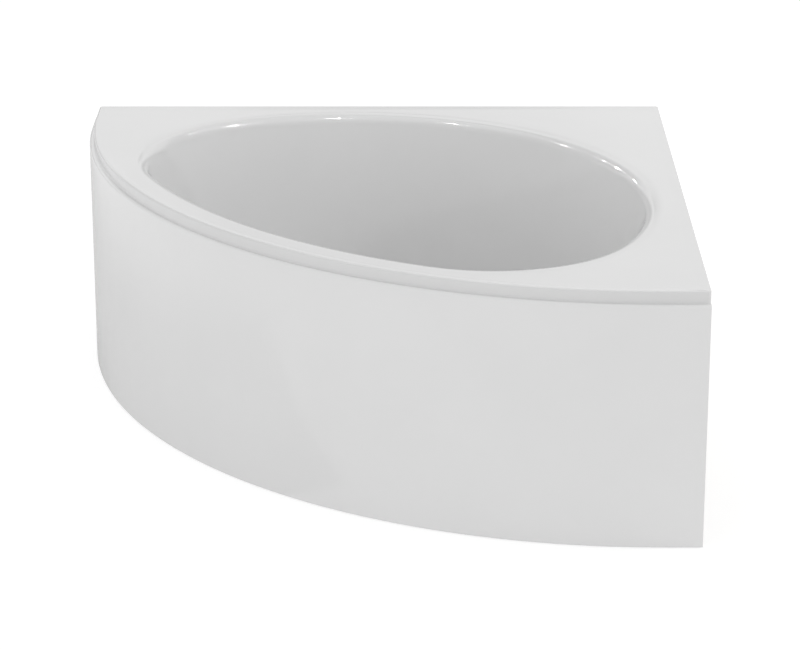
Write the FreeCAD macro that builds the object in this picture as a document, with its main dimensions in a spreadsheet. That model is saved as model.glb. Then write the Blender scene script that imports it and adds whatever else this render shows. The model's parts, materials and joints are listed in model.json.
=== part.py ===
import FreeCAD, Part
import Sketcher
import math
import os
import re

# Quarter-round corner bath with a curved front panel, millimetres, +Z up.
# The room's corner is at +X +Y, the walls are the planes x and y = half the whole width, which is the rim's
# side length and the panel's stand together, and the origin is on the floor under the middle of that square.
# Most hidden pieces lie on the diagonal: "along" runs to the room's corner, "across" at right angles to it.

DIAGONAL = 45.0
Vector = FreeCAD.Vector
UP = Vector(0, 0, 1)
CENTRE = Vector(0, 0, 0)

SIZES = {
    # plan and rim
    "side_length": 1400.0,
    "wall_flat": 90.0,
    "lip_height": 26.0,
    "lip_taper": 2.0,
    "shell_wall": 6.0,
    "rim_edge_radius": 4.0,
    # basin
    "front_deck": 56.0,
    "wall_deck": 61.0,
    "back_centre_set": 59.5,
    "end_radius": 352.0,
    "roll_radius": 30.0,
    "basin_depth": 430.0,
    "front_lean": 60.0,
    "back_lean": 100.0,
    "front_radius_drop": 254.0,
    "back_radius_drop": 184.0,
    "end_radius_drop": 122.0,
    "floor_curve": 75.0,
    "curve_angle": 75.0,
    "floor_fall_angle": 0.5,
    "floor_wall": 8.0,
    "waste_height": 146.0,
    # board and battens
    "board_thickness": 16.0,
    "board_inset": 4.0,
    "batten_width": 36.0,
    "batten_end_angle": 8.0,
    "seat_gap": 0.3,
    # front panel
    "panel_stand": 11.0,
    "panel_wall": 4.0,
    "panel_top_gap": 0.5,
    "panel_floor_gap": 1.5,
    "panel_top_flange": 45.0,
    "panel_foot_flange": 18.0,
    "panel_edge_radius": 7.0,
    "block_length": 60.0,
    "block_depth": 22.0,
    "block_height": 44.0,
    "block_angle": 30.0,
    # steel brackets
    "bracket_thickness": 2.5,
    "bracket_bend": 3.0,
    "bracket_width": 40.0,
    "wall_bracket_drop": 75.0,
    "wall_bracket_reach": 38.0,
    "wall_bracket_spacing": 700.0,
    "wall_hole_pitch": 35.0,
    "floor_bracket_rise": 40.0,
    "floor_bracket_reach": 45.0,
    "bracket_hole_radius": 3.25,
    "bracket_hole_edge": 12.0,
    # feet and rails
    "rail_spacing": 560.0,
    "rail_width": 40.0,
    "rail_height": 25.0,
    "rail_thickness": 2.5,
    "rail_bend": 2.5,
    "rail_end": 22.0,
    "front_foot_reach": 20.0,
    "back_foot_inset": 53.0,
    "rod_radius": 6.0,
    "rod_clearance": 0.1,
    "rod_above_rail": 28.0,
    "weld_nut_height": 10.0,
    "nut_across_corners": 22.0,
    "lock_nut_height": 8.0,
    "pad_radius": 30.0,
    "pad_neck_radius": 12.0,
    "pad_rim": 6.0,
    "pad_height": 26.0,
    "pad_floor": 8.0,
    "centre_plate": 80.0,
    "centre_plate_thickness": 3.0,
    "centre_bush_height": 20.0,
    "centre_rod_drop": 2.0,
    "centre_hole_depth": 15.0,
    # waste
    "waste_setback": 95.0,
    "waste_hole_radius": 26.0,
    "waste_recess": 3.0,
    "flange_radius": 35.0,
    "flange_thickness": 2.5,
    "recess_clearance": 1.0,
    "upper_seal_thickness": 1.5,
    "lower_seal_thickness": 3.0,
    "tail_radius": 25.0,
    "tail_wall": 3.5,
    "tail_below": 20.0,
    "throat_radius": 24.5,
    "thread_clearance": 0.1,
    "waste_body_radius": 42.0,
    "waste_body_flange": 5.0,
    "waste_body_wall": 4.0,
    "chamber_depth": 40.0,
    "chamber_cone": 8.0,
    "spider_bush_radius": 9.0,
    "spider_height": 6.0,
    "spider_rib": 4.0,
    "stem_radius": 5.0,
    "stem_clearance": 0.05,
    "stem_below": 26.0,
    "plug_radius": 31.0,
    "plug_edge": 1.5,
    "plug_crown": 3.0,
    "plug_boss_radius": 17.0,
    "plug_boss_drop": 7.0,
    "plug_seal_radius": 23.2,
    "plug_seal_thickness": 2.0,
    # overflow
    "overflow_drop": 115.0,
    "overflow_hole_radius": 26.0,
    "overflow_spot": 1.0,
    "cover_radius": 36.0,
    "cover_edge": 2.0,
    "cover_crown": 7.0,
    "cover_wall": 2.5,
    "cover_slot_radius": 3.0,
    "cover_slot_circle": 20.0,
    "screw_radius": 3.0,
    "screw_head_radius": 6.5,
    "screw_head_height": 3.0,
    "screw_clearance": 0.1,
    "overflow_body_radius": 38.0,
    "overflow_body_flange": 4.0,
    "overflow_cup_radius": 29.0,
    "overflow_cup_depth": 40.0,
    "overflow_cup_wall": 3.0,
    "overflow_post_radius": 6.5,
    # pipes and unions
    "overflow_pipe_radius": 16.0,
    "trap_pipe_radius": 20.0,
    "pipe_wall": 2.5,
    "overflow_bend": 60.0,
    "waste_stub": 40.0,
    "stub_drop": 26.0,
    "trap_bend": 28.0,
    "trap_elbow": 28.0,
    "trap_spigot": 24.0,
    "outlet_length": 380.0,
    "outlet_spigot": 45.0,
    "stop_ring_width": 4.0,
    "stop_ring_height": 2.5,
    "union_wall": 7.0,
    "union_height": 20.0,
    "union_room": 3.0,
    "union_clearance": 0.1,
}

NUT_SIDES = 6
UNION_SIDES = 12
SPIDER_RIBS = 3
COVER_SLOTS = 8
CURVE_STEPS = 3
WALL_STEPS = 3
HALVINGS = 60
TOUCH = 0.01
# A tool for a hole passes this many walls to each side, and a stub bites this share into a cup's wall
TOOL_WALLS = 4
STUB_BITE = 0.25

ALIAS_WORD = re.compile(r"\b(" + "|".join(SIZES) + r")\b")


def total(*terms):
    return "(" + " + ".join(f"({term})" for term in terms) + ")"


def less(first, *terms):
    return f"(({first})" + "".join(f" - ({term})" for term in terms) + ")"


# Heights and places that several pieces share
HALF_SIDE = "((side_length + panel_stand) / 2)"
ARC_CENTRE = less(HALF_SIDE, "wall_flat")
FRONT_RADIUS = less("side_length", "wall_flat")
RIM = total("waste_height", "basin_depth")
LIP_BOTTOM = less(RIM, "lip_height")
DECK_UNDER = less(RIM, "shell_wall")
FLOOR_UNDER = less("waste_height", "floor_wall")
BOARD_UNDER = less(FLOOR_UNDER, "board_thickness")
ROLL_REACH = "(roll_radius * sin(curve_angle))"
FLOOR_REACH = "(floor_curve * sin(curve_angle))"
ROLL_FRONT = total(f"{ARC_CENTRE} * sqrt(2) - {FRONT_RADIUS}", "front_deck")
MOUTH_FRONT_RADIUS = less(FRONT_RADIUS, "front_deck")
MOUTH_BACK_RADIUS = less(total(HALF_SIDE, "back_centre_set"), "wall_deck")
ROLL_BACK = less(MOUTH_BACK_RADIUS, "back_centre_set * sqrt(2)")
WELL_FRONT = total(ROLL_FRONT, ROLL_REACH, "front_lean")
WELL_BACK = less(ROLL_BACK, ROLL_REACH, "back_lean")
FLOOR_FRONT = total(WELL_FRONT, FLOOR_REACH)
WASTE_ALONG = total(FLOOR_FRONT, "waste_setback")
FRONT_FOOT = less(WELL_FRONT, "front_foot_reach")
BACK_FOOT = less(WELL_BACK, "back_foot_inset")
CENTRE_FOOT = f"(({FRONT_FOOT} + {BACK_FOOT}) / 2)"
PANEL_TOP = less(LIP_BOTTOM, "panel_top_gap")
PANEL_OUTSIDE = total(FRONT_RADIUS, "panel_stand")
PANEL_INSIDE = less(PANEL_OUTSIDE, "panel_wall")
PIPE_STUB_UP = less(FLOOR_UNDER, "stub_drop")
HALF_UNION = "(union_height / 2 + union_room)"
SPIGOT_DROP = total("lower_seal_thickness", "chamber_depth", "chamber_cone", "pipe_wall", HALF_UNION)
SPIGOT_UP = less(FLOOR_UNDER, SPIGOT_DROP)
SEAT_UP = less("waste_height", "waste_recess")
STUB_REACH = total("overflow_body_radius", HALF_UNION)

doc = FreeCAD.newDocument("CornerBath")
sheet = doc.addObject("Spreadsheet::Sheet", "Sizes")
for row, (alias, number) in enumerate(SIZES.items(), start=1):
    sheet.set(f"A{row}", alias)
    sheet.set(f"B{row}", str(number))
    sheet.setAlias(f"B{row}", alias)
doc.recompute()

sub_parts = []


# Helpers that tie objects to the sheet

def cells(formula):
    return ALIAS_WORD.sub(r"Sizes.\1", str(formula))


def value(formula):
    return float(sheet.evalExpression(cells(formula)))


def bind(item, formulas):
    for path, formula in formulas.items():
        item.setExpression(path, cells(formula))


def keep(item):
    sub_parts.append(item)
    return item


def make(kind, label, formulas):
    item = doc.addObject(kind, label)
    item.Label = label
    bind(item, formulas)
    return item


def put(item, x, y, z, rotation=FreeCAD.Rotation()):
    item.Placement = FreeCAD.Placement(CENTRE, rotation)
    bind(item, {"Placement.Base.x": x, "Placement.Base.y": y, "Placement.Base.z": z})
    return item


def put_diagonal(item, along, across, up, rotation=FreeCAD.Rotation()):
    facing = FreeCAD.Rotation(UP, DIAGONAL) * rotation
    x = f"(({along}) - ({across})) * sqrt(0.5)"
    y = f"(({along}) + ({across})) * sqrt(0.5)"
    return put(item, x, y, up, facing)


def cylinder(label, radius, height):
    return make("Part::Cylinder", label, {"Radius": radius, "Height": height})


def block(label, length, width, height):
    return make("Part::Box", label, {"Length": length, "Width": width, "Height": height})


def cut(label, base, tool):
    item = doc.addObject("Part::Cut", label)
    item.Label = label
    item.Base = base
    item.Tool = tool
    return item


def fuse(label, items):
    item = doc.addObject("Part::MultiFuse", label)
    item.Label = label
    item.Shapes = items
    return item


def group(label, items):
    item = doc.addObject("Part::Compound", label)
    item.Label = label
    item.Links = items
    return item


def feature(label, shape):
    item = doc.addObject("Part::Feature", label)
    item.Label = label
    item.Shape = shape
    return item


# Helpers for sketched bodies

def new_body(label):
    body = doc.addObject("PartDesign::Body", label)
    body.Label = label
    return body


def new_sketch(body, name, role, lift):
    planes = {origin.Role: origin for origin in body.Origin.OriginFeatures}
    sketch = body.newObject("Sketcher::SketchObject", f"{body.Label}_{name}")
    sketch.AttachmentSupport = (planes[role], [""])
    sketch.MapMode = "FlatFace"
    bind(sketch, {"AttachmentOffset.Base.z": lift})
    return sketch


def fix_point(sketch, curve, end, formulas):
    for axis, formula in zip("XY", formulas):
        rule = Sketcher.Constraint(f"Distance{axis}", -1, 1, curve, end, value(formula))
        index = sketch.addConstraint(rule)
        bind(sketch, {f"Constraints[{index}]": formula})


def arc_between(start, end, radius, sense):
    """Minor arc from start to end; sense is 1 to turn left and -1 to turn right."""
    chord = end - start
    rise = math.sqrt(radius ** 2 - (chord.Length / 2) ** 2)
    left = Vector(-chord.y, chord.x, 0).normalize()
    centre = start + chord * 0.5 + left * (rise * sense)
    first, last = (start, end) if sense > 0 else (end, start)
    begin = math.atan2(first.y - centre.y, first.x - centre.x)
    finish = math.atan2(last.y - centre.y, last.x - centre.x)
    if finish < begin:
        finish += 2 * math.pi
    return Part.ArcOfCircle(Part.Circle(centre, UP, radius), begin, finish)


def outline(body, name, role, lift, corners):
    """Closed outline of corners (x, y), or (x, y, radius, sense) where an arc starts."""
    sketch = new_sketch(body, name, role, lift)
    points = [Vector(value(corner[0]), value(corner[1]), 0) for corner in corners]
    ends = []
    for index, corner in enumerate(corners):
        start = points[index]
        end = points[(index + 1) % len(points)]
        if len(corner) == 2:
            sketch.addGeometry(Part.LineSegment(start, end), False)
            ends.append((1, 2))
        else:
            sense = corner[3]
            sketch.addGeometry(arc_between(start, end, value(corner[2]), sense), False)
            ends.append((1, 2) if sense > 0 else (2, 1))
    for index in range(len(corners)):
        following = (index + 1) % len(corners)
        rule = Sketcher.Constraint("Coincident", index, ends[index][1], following, ends[following][0])
        sketch.addConstraint(rule)
    for index, corner in enumerate(corners):
        fix_point(sketch, index, ends[index][0], corner[:2])
        if len(corner) > 2:
            number = sketch.addConstraint(Sketcher.Constraint("Radius", index, value(corner[2])))
            bind(sketch, {f"Constraints[{number}]": corner[2]})
    return sketch


def circles(body, name, role, lift, radius, places):
    sketch = new_sketch(body, name, role, lift)
    for index, place in enumerate(places):
        middle = Vector(value(place[0]), value(place[1]), 0)
        sketch.addGeometry(Part.Circle(middle, UP, value(radius)), False)
        number = sketch.addConstraint(Sketcher.Constraint("Radius", index, value(radius)))
        bind(sketch, {f"Constraints[{number}]": radius})
        fix_point(sketch, index, 3, place)
    return sketch


def pad(body, sketch, length, downwards=False, both_ways=False):
    item = body.newObject("PartDesign::Pad", f"{sketch.Name}_pad")
    item.Profile = sketch
    item.Reversed = downwards
    item.Midplane = both_ways
    bind(item, {"Length": length})
    return item


def pocket(body, sketch, length, upwards=False):
    item = body.newObject("PartDesign::Pocket", f"{sketch.Name}_pocket")
    item.Profile = sketch
    item.Reversed = upwards
    bind(item, {"Length": length})
    return item


def drill(body, sketch):
    item = body.newObject("PartDesign::Pocket", f"{sketch.Name}_drill")
    item.Profile = sketch
    item.Type = "ThroughAll"
    item.Midplane = True
    return item


def round_edges(body, base, radius, chosen):
    doc.recompute()
    names = [f"Edge{n}" for n, edge in enumerate(base.Shape.Edges, start=1) if chosen(edge)]
    item = body.newObject("PartDesign::Fillet", f"{base.Name}_round")
    item.Base = (base, names)
    bind(item, {"Radius": radius})
    return item


def turned(label, corners):
    """Solid of revolution from an outline of (radius, height) corners."""
    body = new_body(label)
    sketch = outline(body, "profile", "XZ_Plane", "0", corners)
    item = body.newObject("PartDesign::Revolution", f"{label}_turned")
    item.Profile = sketch
    item.ReferenceAxis = (sketch, ["V_Axis"])
    item.Angle = 360.0
    return body


def ring(label, inner, outer, bottom, top):
    return turned(label, [(inner, bottom), (outer, bottom), (outer, top), (inner, top)])


# Bath shell

def plan_outline(body, name, lift, inset):
    """Outline of the bath in plan, drawn in by an inset all round."""
    edge = less(HALF_SIDE, inset)
    low = total(less(ARC_CENTRE, FRONT_RADIUS), inset)
    corners = [
        (edge, edge),
        (low, edge),
        (low, ARC_CENTRE, less(FRONT_RADIUS, inset), 1),
        (ARC_CENTRE, low),
        (edge, low),
    ]
    return outline(body, name, "XY_Plane", lift, corners)


def rim_tray():
    """Deck with its turned-down lip, drawn in at the bottom along the front."""
    body = new_body("rim_tray")
    slab = pad(body, plan_outline(body, "outside", RIM, "0"), "lip_height", downwards=True)
    doc.recompute()
    far = value(HALF_SIDE)
    top = value(RIM)
    front = []
    for number, face in enumerate(slab.Shape.Faces, start=1):
        middle = face.CenterOfMass
        on_wall = abs(middle.x - far) < TOUCH or abs(middle.y - far) < TOUCH
        upright = face.BoundBox.ZLength > TOUCH
        if upright and not on_wall:
            front.append(f"Face{number}")
    draft = body.newObject("PartDesign::Draft", "lip_draft")
    draft.Base = (slab, front)
    deck_face = next(f"Face{n}" for n, face in enumerate(slab.Shape.Faces, start=1)
                     if abs(face.BoundBox.ZMin - top) < TOUCH)
    draft.NeutralPlane = (slab, [deck_face])
    draft.Reversed = True
    bind(draft, {"Angle": "atan(lip_taper / lip_height)"})
    round_edges(body, draft, "rim_edge_radius", lambda edge: abs(edge.BoundBox.ZMin - top) < TOUCH)
    doc.recompute()
    inside = plan_outline(body, "inside", LIP_BOTTOM, "shell_wall")
    pocket(body, inside, less("lip_height", "shell_wall"), upwards=True)
    return body


def oval(front, back, front_radius, back_radius, end_radius):
    """Closed wire of four tangent arcs about the diagonal, at height 0."""
    front_centre = Vector(front + front_radius, 0, 0)
    back_centre = Vector(back - back_radius, 0, 0)
    to_front = front_radius - end_radius
    to_back = back_radius - end_radius
    gap = back_centre.x - front_centre.x
    along = (to_front ** 2 - to_back ** 2 - front_centre.x ** 2 + back_centre.x ** 2) / (2 * gap)
    across = math.sqrt(to_back ** 2 - (along - back_centre.x) ** 2)
    joins = {}
    middles = {}
    for side in (-1, 1):
        end_centre = Vector(along, side * across, 0)
        ahead = (end_centre - front_centre).normalize()
        behind = (end_centre - back_centre).normalize()
        joins[side] = (end_centre + ahead * end_radius, end_centre + behind * end_radius)
        middles[side] = end_centre + (ahead + behind).normalize() * end_radius
    arcs = [
        Part.Arc(joins[-1][0], Vector(front, 0, 0), joins[1][0]),
        Part.Arc(joins[1][0], middles[1], joins[1][1]),
        Part.Arc(joins[1][1], Vector(back, 0, 0), joins[-1][1]),
        Part.Arc(joins[-1][1], middles[-1], joins[-1][0]),
    ]
    return Part.Wire([arc.toShape() for arc in arcs])


def inset_oval(shape, inset):
    front, back, front_radius, back_radius, end_radius = shape
    return oval(front + inset, back - inset, front_radius - inset,
                back_radius - inset, end_radius - inset)


def level(wire, height, slope=0.0):
    """Lift a wire, tipped about the waste by a slope, and turn it on to the diagonal."""
    pivot = Vector(value(WASTE_ALONG), 0, 0)
    wire.rotate(pivot, Vector(0, 1, 0), -slope)
    wire.translate(Vector(0, 0, height))
    wire.rotate(CENTRE, UP, DIAGONAL)
    return wire


def basin_shapes():
    """Plan ovals (front, back and three radii) where the roll starts and where the floor curve starts."""
    mouth = (ROLL_FRONT, ROLL_BACK, MOUTH_FRONT_RADIUS, MOUTH_BACK_RADIUS, "end_radius")
    well = (WELL_FRONT, WELL_BACK, less(MOUTH_FRONT_RADIUS, "front_radius_drop"),
            less(MOUTH_BACK_RADIUS, "back_radius_drop"), less("end_radius", "end_radius_drop"))
    return [value(size) for size in mouth], [value(size) for size in well]


def basin_sections():
    """Wires of the basin's inside and outside, from the deck down to the floor."""
    mouth, well = basin_shapes()
    rim = value(RIM)
    roll = value("roll_radius")
    bowl = value("floor_curve")
    steepest = value("curve_angle")
    wall = value("shell_wall")
    floor = value("waste_height")
    floor_wall = value("floor_wall")
    inside = []
    outside = []
    tilts = [steepest * step / CURVE_STEPS for step in range(CURVE_STEPS + 1)]
    for tilt in tilts:
        lean = math.radians(tilt)
        inset = roll * math.sin(lean)
        height = rim - roll * (1 - math.cos(lean))
        inside.append(level(inset_oval(mouth, inset), height))
        outside.append(level(inset_oval(mouth, inset - wall * math.sin(lean)),
                             height - wall * math.cos(lean)))
    lean = math.radians(steepest)
    wall_top = [a + sign * roll * math.sin(lean) for a, sign in zip(mouth, (1, -1, -1, -1, -1))]
    top_height = rim - roll * (1 - math.cos(lean))
    foot_height = floor + bowl * (1 - math.cos(lean))
    for step in range(1, WALL_STEPS):
        share = step / WALL_STEPS
        between = [a + (b - a) * share for a, b in zip(wall_top, well)]
        height = top_height + (foot_height - top_height) * share
        inside.append(level(inset_oval(between, 0), height))
        outside.append(level(inset_oval(between, -wall * math.sin(lean)),
                             height - wall * math.cos(lean)))
    fall = value("floor_fall_angle")
    for tilt in reversed(tilts):
        lean_now = math.radians(tilt)
        inset = bowl * (math.sin(lean) - math.sin(lean_now))
        height = floor + bowl * (1 - math.cos(lean_now))
        below = floor_wall * math.cos(lean_now)
        inside.append(level(inset_oval(well, inset), height, fall * math.cos(lean_now)))
        outside.append(level(inset_oval(well, inset - wall * math.sin(lean_now)), height - below))
    return inside, outside


def skin(wires, floor_wire):
    """Smooth faces through the wires, and the flat floor that closes them."""
    walls = Part.makeLoft(wires, False, False)
    return list(walls.Faces), Part.Face(floor_wire)


def wall_point(face, height):
    """Point and outward normal in the middle of a lofted face, at a height."""
    first, last, low, high = face.ParameterRange
    middle = (first + last) / 2
    falling = face.valueAt(middle, low).z > face.valueAt(middle, high).z
    for _ in range(HALVINGS):
        half = (low + high) / 2
        if (face.valueAt(middle, half).z > height) == falling:
            low = half
        else:
            high = half
    return face.valueAt(middle, half), face.normalAt(middle, half)


def moulded_shell(tray):
    """Deck, lip and basin sewn into one solid, with the overflow's place on the front wall."""
    doc.recompute()
    inside, outside = basin_sections()
    mouth = Part.Face(inside[0])
    depth = value("shell_wall")
    opening = mouth.extrude(Vector(0, 0, -2 * depth))
    opening.translate(Vector(0, 0, depth / 2))
    deck = tray.Shape.cut(opening)
    low = value(DECK_UNDER)
    high = value(RIM)
    deck_faces = [face for face in deck.Faces
                  if abs(face.BoundBox.ZMin - low) > TOUCH or abs(face.BoundBox.ZMax - high) > TOUCH]
    inner_walls, inner_floor = skin(inside, inside[-1])
    outer_walls, outer_floor = skin(outside, outside[-1])
    faces = deck_faces + inner_walls + outer_walls + [inner_floor, outer_floor]
    sewn = Part.makeCompound(faces)
    sewn.sewShape(TOUCH)
    solid = Part.makeSolid(sewn.Shells[0] if sewn.Shells else Part.makeShell(sewn.Faces))
    if solid.Volume < 0:
        solid.reverse()
    diagonal = Vector(1, 1, 0).normalize()
    inner_front = min(inner_walls, key=lambda face: face.CenterOfMass.dot(diagonal))
    outer_front = min(outer_walls, key=lambda face: face.CenterOfMass.dot(diagonal))
    spot, normal = wall_point(inner_front, high - value("overflow_drop"))
    if normal.dot(diagonal) < 0:
        normal = -normal
    normal = Vector(normal.dot(diagonal) * diagonal.x, normal.dot(diagonal) * diagonal.y, normal.z)
    normal.normalize()
    through = Part.makeLine(spot + normal * depth, spot - normal * (TOOL_WALLS * depth))
    back = through.Curve.intersectCS(outer_front.Surface)[0][0]
    back = Vector(back.X, back.Y, back.Z)
    return feature("moulded_shell", solid), spot, back, normal


tray = rim_tray()
moulding, overflow_inner, overflow_outer, overflow_axis = moulded_shell(tray)

# The overflow's own frame: its origin on the flat cut in the basin's front wall, Z into the basin, Y up
wall_across = Vector(-1, 1, 0).normalize()
overflow_up = overflow_axis.cross(wall_across)
overflow_turn = FreeCAD.Rotation(wall_across, overflow_up, overflow_axis, "ZXY")
overflow_seat = overflow_inner - overflow_axis * value("overflow_spot")
overflow_wall = (overflow_inner - overflow_outer).Length - 2 * value("overflow_spot")
OVERFLOW_BACK = f"(-{overflow_wall:.6f})"


def put_overflow(item, down=0.0):
    """Place an item on the overflow's axis, moved back from its seat."""
    item.Placement = FreeCAD.Placement(overflow_seat - overflow_axis * down, overflow_turn)
    return item


def bath_shell():
    hole = put_diagonal(cylinder("waste_hole", "waste_hole_radius", "2 * floor_wall"),
                        WASTE_ALONG, "0", less(FLOOR_UNDER, "floor_wall / 2"))
    recess_radius = total("flange_radius", "recess_clearance")
    recess = cylinder("waste_recess_tool", recess_radius, "floor_wall")
    put_diagonal(recess, WASTE_ALONG, "0", SEAT_UP)
    overflow_hole = cylinder("overflow_hole", "overflow_hole_radius", f"{2 * TOOL_WALLS} * shell_wall")
    put_overflow(overflow_hole, TOOL_WALLS * value("shell_wall"))
    cover_flat = cylinder("cover_flat", total("cover_radius", "recess_clearance"), "shell_wall")
    put_overflow(cover_flat)
    seal_flat = cylinder("seal_flat", total("overflow_body_radius", "recess_clearance"), "shell_wall")
    put_overflow(seal_flat, overflow_wall + value("shell_wall"))
    tools = fuse("shell_tools", [hole, recess, overflow_hole, cover_flat, seal_flat])
    return keep(cut("bath_shell", moulding, tools))


bath_shell()


# Base board and battens

def foot_places():
    side = "rail_spacing / 2"
    return [
        (FRONT_FOOT, f"-{side}"),
        (FRONT_FOOT, side),
        (BACK_FOOT, f"-{side}"),
        (BACK_FOOT, side),
        (CENTRE_FOOT, "0"),
    ]


def base_board():
    """Flat board under the floor, notched at the waste and drilled for the centre foot."""
    well = basin_shapes()[1]
    wire = inset_oval(well, value(FLOOR_REACH) + value("board_inset"))
    blank = make("Part::Extrusion", "board_blank", {"LengthFwd": "board_thickness"})
    blank.Base = feature("board_outline", wire)
    blank.DirMode = "Custom"
    blank.Dir = UP
    blank.Solid = True
    put_diagonal(blank, "0", "0", BOARD_UNDER)
    clear = total("waste_body_radius", "recess_clearance")
    round_end = put_diagonal(cylinder("board_notch_end", clear, "2 * board_thickness"),
                             WASTE_ALONG, "0", less(BOARD_UNDER, "board_thickness / 2"))
    notch = block("board_notch", "waste_setback", f"2 * {clear}", "2 * board_thickness")
    notch_start = less(WASTE_ALONG, "waste_setback")
    put_diagonal(notch, notch_start, f"-{clear}", less(BOARD_UNDER, "board_thickness / 2"))
    socket = cylinder("board_socket", total("rod_radius", "recess_clearance"), "centre_hole_depth")
    put_diagonal(socket, CENTRE_FOOT, "0", BOARD_UNDER)
    return keep(cut("base_board", blank, fuse("board_tools", [round_end, notch, socket])))


def rim_battens():
    """Straight battens along the walls and a curved one along the front, flush with the lip's bottom."""
    inner = less(HALF_SIDE, "shell_wall", "seat_gap")
    thick = less("lip_height", "shell_wall")
    corner_end = less(inner, "batten_width", "seat_gap")
    back = block("rim_batten_back", total(inner, ARC_CENTRE), "batten_width", thick)
    keep(put(back, f"-{ARC_CENTRE}", less(inner, "batten_width"), LIP_BOTTOM))
    right = block("rim_batten_right", "batten_width", total(corner_end, ARC_CENTRE), thick)
    keep(put(right, less(inner, "batten_width"), f"-{ARC_CENTRE}", LIP_BOTTOM))
    outer_radius = less(FRONT_RADIUS, "lip_taper", "shell_wall")
    inner_radius = less(outer_radius, "batten_width")
    half_angle = "(45 - batten_end_angle)"
    body = new_body("rim_batten_front")
    corners = []
    for radius, first, sense in ((outer_radius, -1, 1), (inner_radius, 1, -1)):
        for side in (first, -first):
            x = f"-{radius} * cos({half_angle})"
            y = f"{-side} * {radius} * sin({half_angle})"
            corners.append((x, y, radius, sense) if side == first else (x, y))
    sketch = outline(body, "plan", "XY_Plane", "0", corners)
    pad(body, sketch, thick)
    keep(put_diagonal(body, f"{ARC_CENTRE} * sqrt(2)", "0", LIP_BOTTOM))


base_board()
rim_battens()


# Front panel

def front_strip(body, name, lift, depth):
    """Band along the panel's outside, from wall to wall, as deep as asked."""
    edge = HALF_SIDE
    low = f"-{HALF_SIDE}"
    inner = f"-{less(HALF_SIDE, depth)}"
    corners = [
        (low, edge),
        (low, ARC_CENTRE, PANEL_OUTSIDE, 1),
        (ARC_CENTRE, low),
        (edge, low),
        (edge, inner),
        (ARC_CENTRE, inner, less(PANEL_OUTSIDE, depth), -1),
        (inner, ARC_CENTRE),
        (inner, edge),
    ]
    return outline(body, name, "XY_Plane", lift, corners)


def front_panel():
    """Curved sheet with a flange turned in at the top and another at the floor."""
    body = new_body("front_panel")
    tall = less(PANEL_TOP, "panel_floor_gap")
    pad(body, front_strip(body, "face", "panel_floor_gap", "panel_wall"), tall)
    pad(body, front_strip(body, "top", PANEL_TOP, "panel_top_flange"), "panel_wall", downwards=True)
    last = pad(body, front_strip(body, "foot", "panel_floor_gap", "panel_foot_flange"), "panel_wall")
    top = value(PANEL_TOP)
    middle = Vector(value(ARC_CENTRE), value(ARC_CENTRE), 0)
    outer = value(PANEL_OUTSIDE)
    wall_plane = value(HALF_SIDE)

    def outer_top(edge):
        centre = edge.CenterOfMass
        flat = edge.BoundBox.ZLength < TOUCH and abs(centre.z - top) < TOUCH
        along_front = min(centre.x, centre.y) < -wall_plane + TOUCH
        point = edge.valueAt((edge.FirstParameter + edge.LastParameter) / 2)
        on_arc = abs(math.hypot(point.x - middle.x, point.y - middle.y) - outer) < TOUCH
        return flat and (along_front or on_arc) and edge.Length > value("panel_top_flange")

    round_edges(body, last, "panel_edge_radius", outer_top)
    return keep(body)


def angle_bracket(label, rise, reach, holes):
    """Bent angle: back face at y = 0 below z = 0, leg along +Y, its outside bend at the origin."""
    thick = "bracket_thickness"
    outer_bend = total("bracket_bend", thick)
    corners = [
        (reach, "0"),
        (outer_bend, "0", outer_bend, 1),
        ("0", f"-{outer_bend}"),
        ("0", f"-({rise})"),
        (thick, f"-({rise})"),
        (thick, f"-{outer_bend}", "bracket_bend", -1),
        (outer_bend, f"-{thick}"),
        (reach, f"-{thick}"),
    ]
    body = new_body(label)
    pad(body, outline(body, "angle", "YZ_Plane", "0", corners), "bracket_width", both_ways=True)
    role, places = holes
    drill(body, circles(body, "holes", role, "0", "bracket_hole_radius", places))
    return body


def panel_fixings():
    """Blocks on the panel's foot flange, each held to the floor by an angle bracket."""
    flat_face = f"(sqrt({PANEL_INSIDE} * {PANEL_INSIDE} - block_length * block_length / 4) - seat_gap)"
    back_face = less(flat_face, "block_depth")
    block_foot = total("panel_floor_gap", "panel_wall")
    flip = FreeCAD.Rotation(Vector(0, 1, 0), 180)
    hole = ("XY_Plane", [("0", less("floor_bracket_reach", "bracket_hole_edge"))])
    for number, side in enumerate((-1, 0, 1), start=1):
        bearing = f"({180 + DIAGONAL} + {side} * block_angle)"
        turn = 180 + DIAGONAL + side * value("block_angle")
        outward = FreeCAD.Rotation(UP, turn)
        x = f"{ARC_CENTRE} + {{reach}} * cos({bearing}) - {{aside}} * sin({bearing})"
        y = f"{ARC_CENTRE} + {{reach}} * sin({bearing}) + {{aside}} * cos({bearing})"
        timber = block(f"panel_block_{number}", "block_depth", "block_length", "block_height")
        seat = {"reach": back_face, "aside": "(-block_length / 2)"}
        keep(put(timber, x.format(**seat), y.format(**seat), block_foot, outward))
        label = f"panel_bracket_{number}"
        angle = angle_bracket(label, "floor_bracket_rise", "floor_bracket_reach", hole)
        inward = FreeCAD.Rotation(UP, turn + 90) * flip
        foot = {"reach": back_face, "aside": "0"}
        keep(put(angle, x.format(**foot), y.format(**foot), "0", inward))


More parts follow.
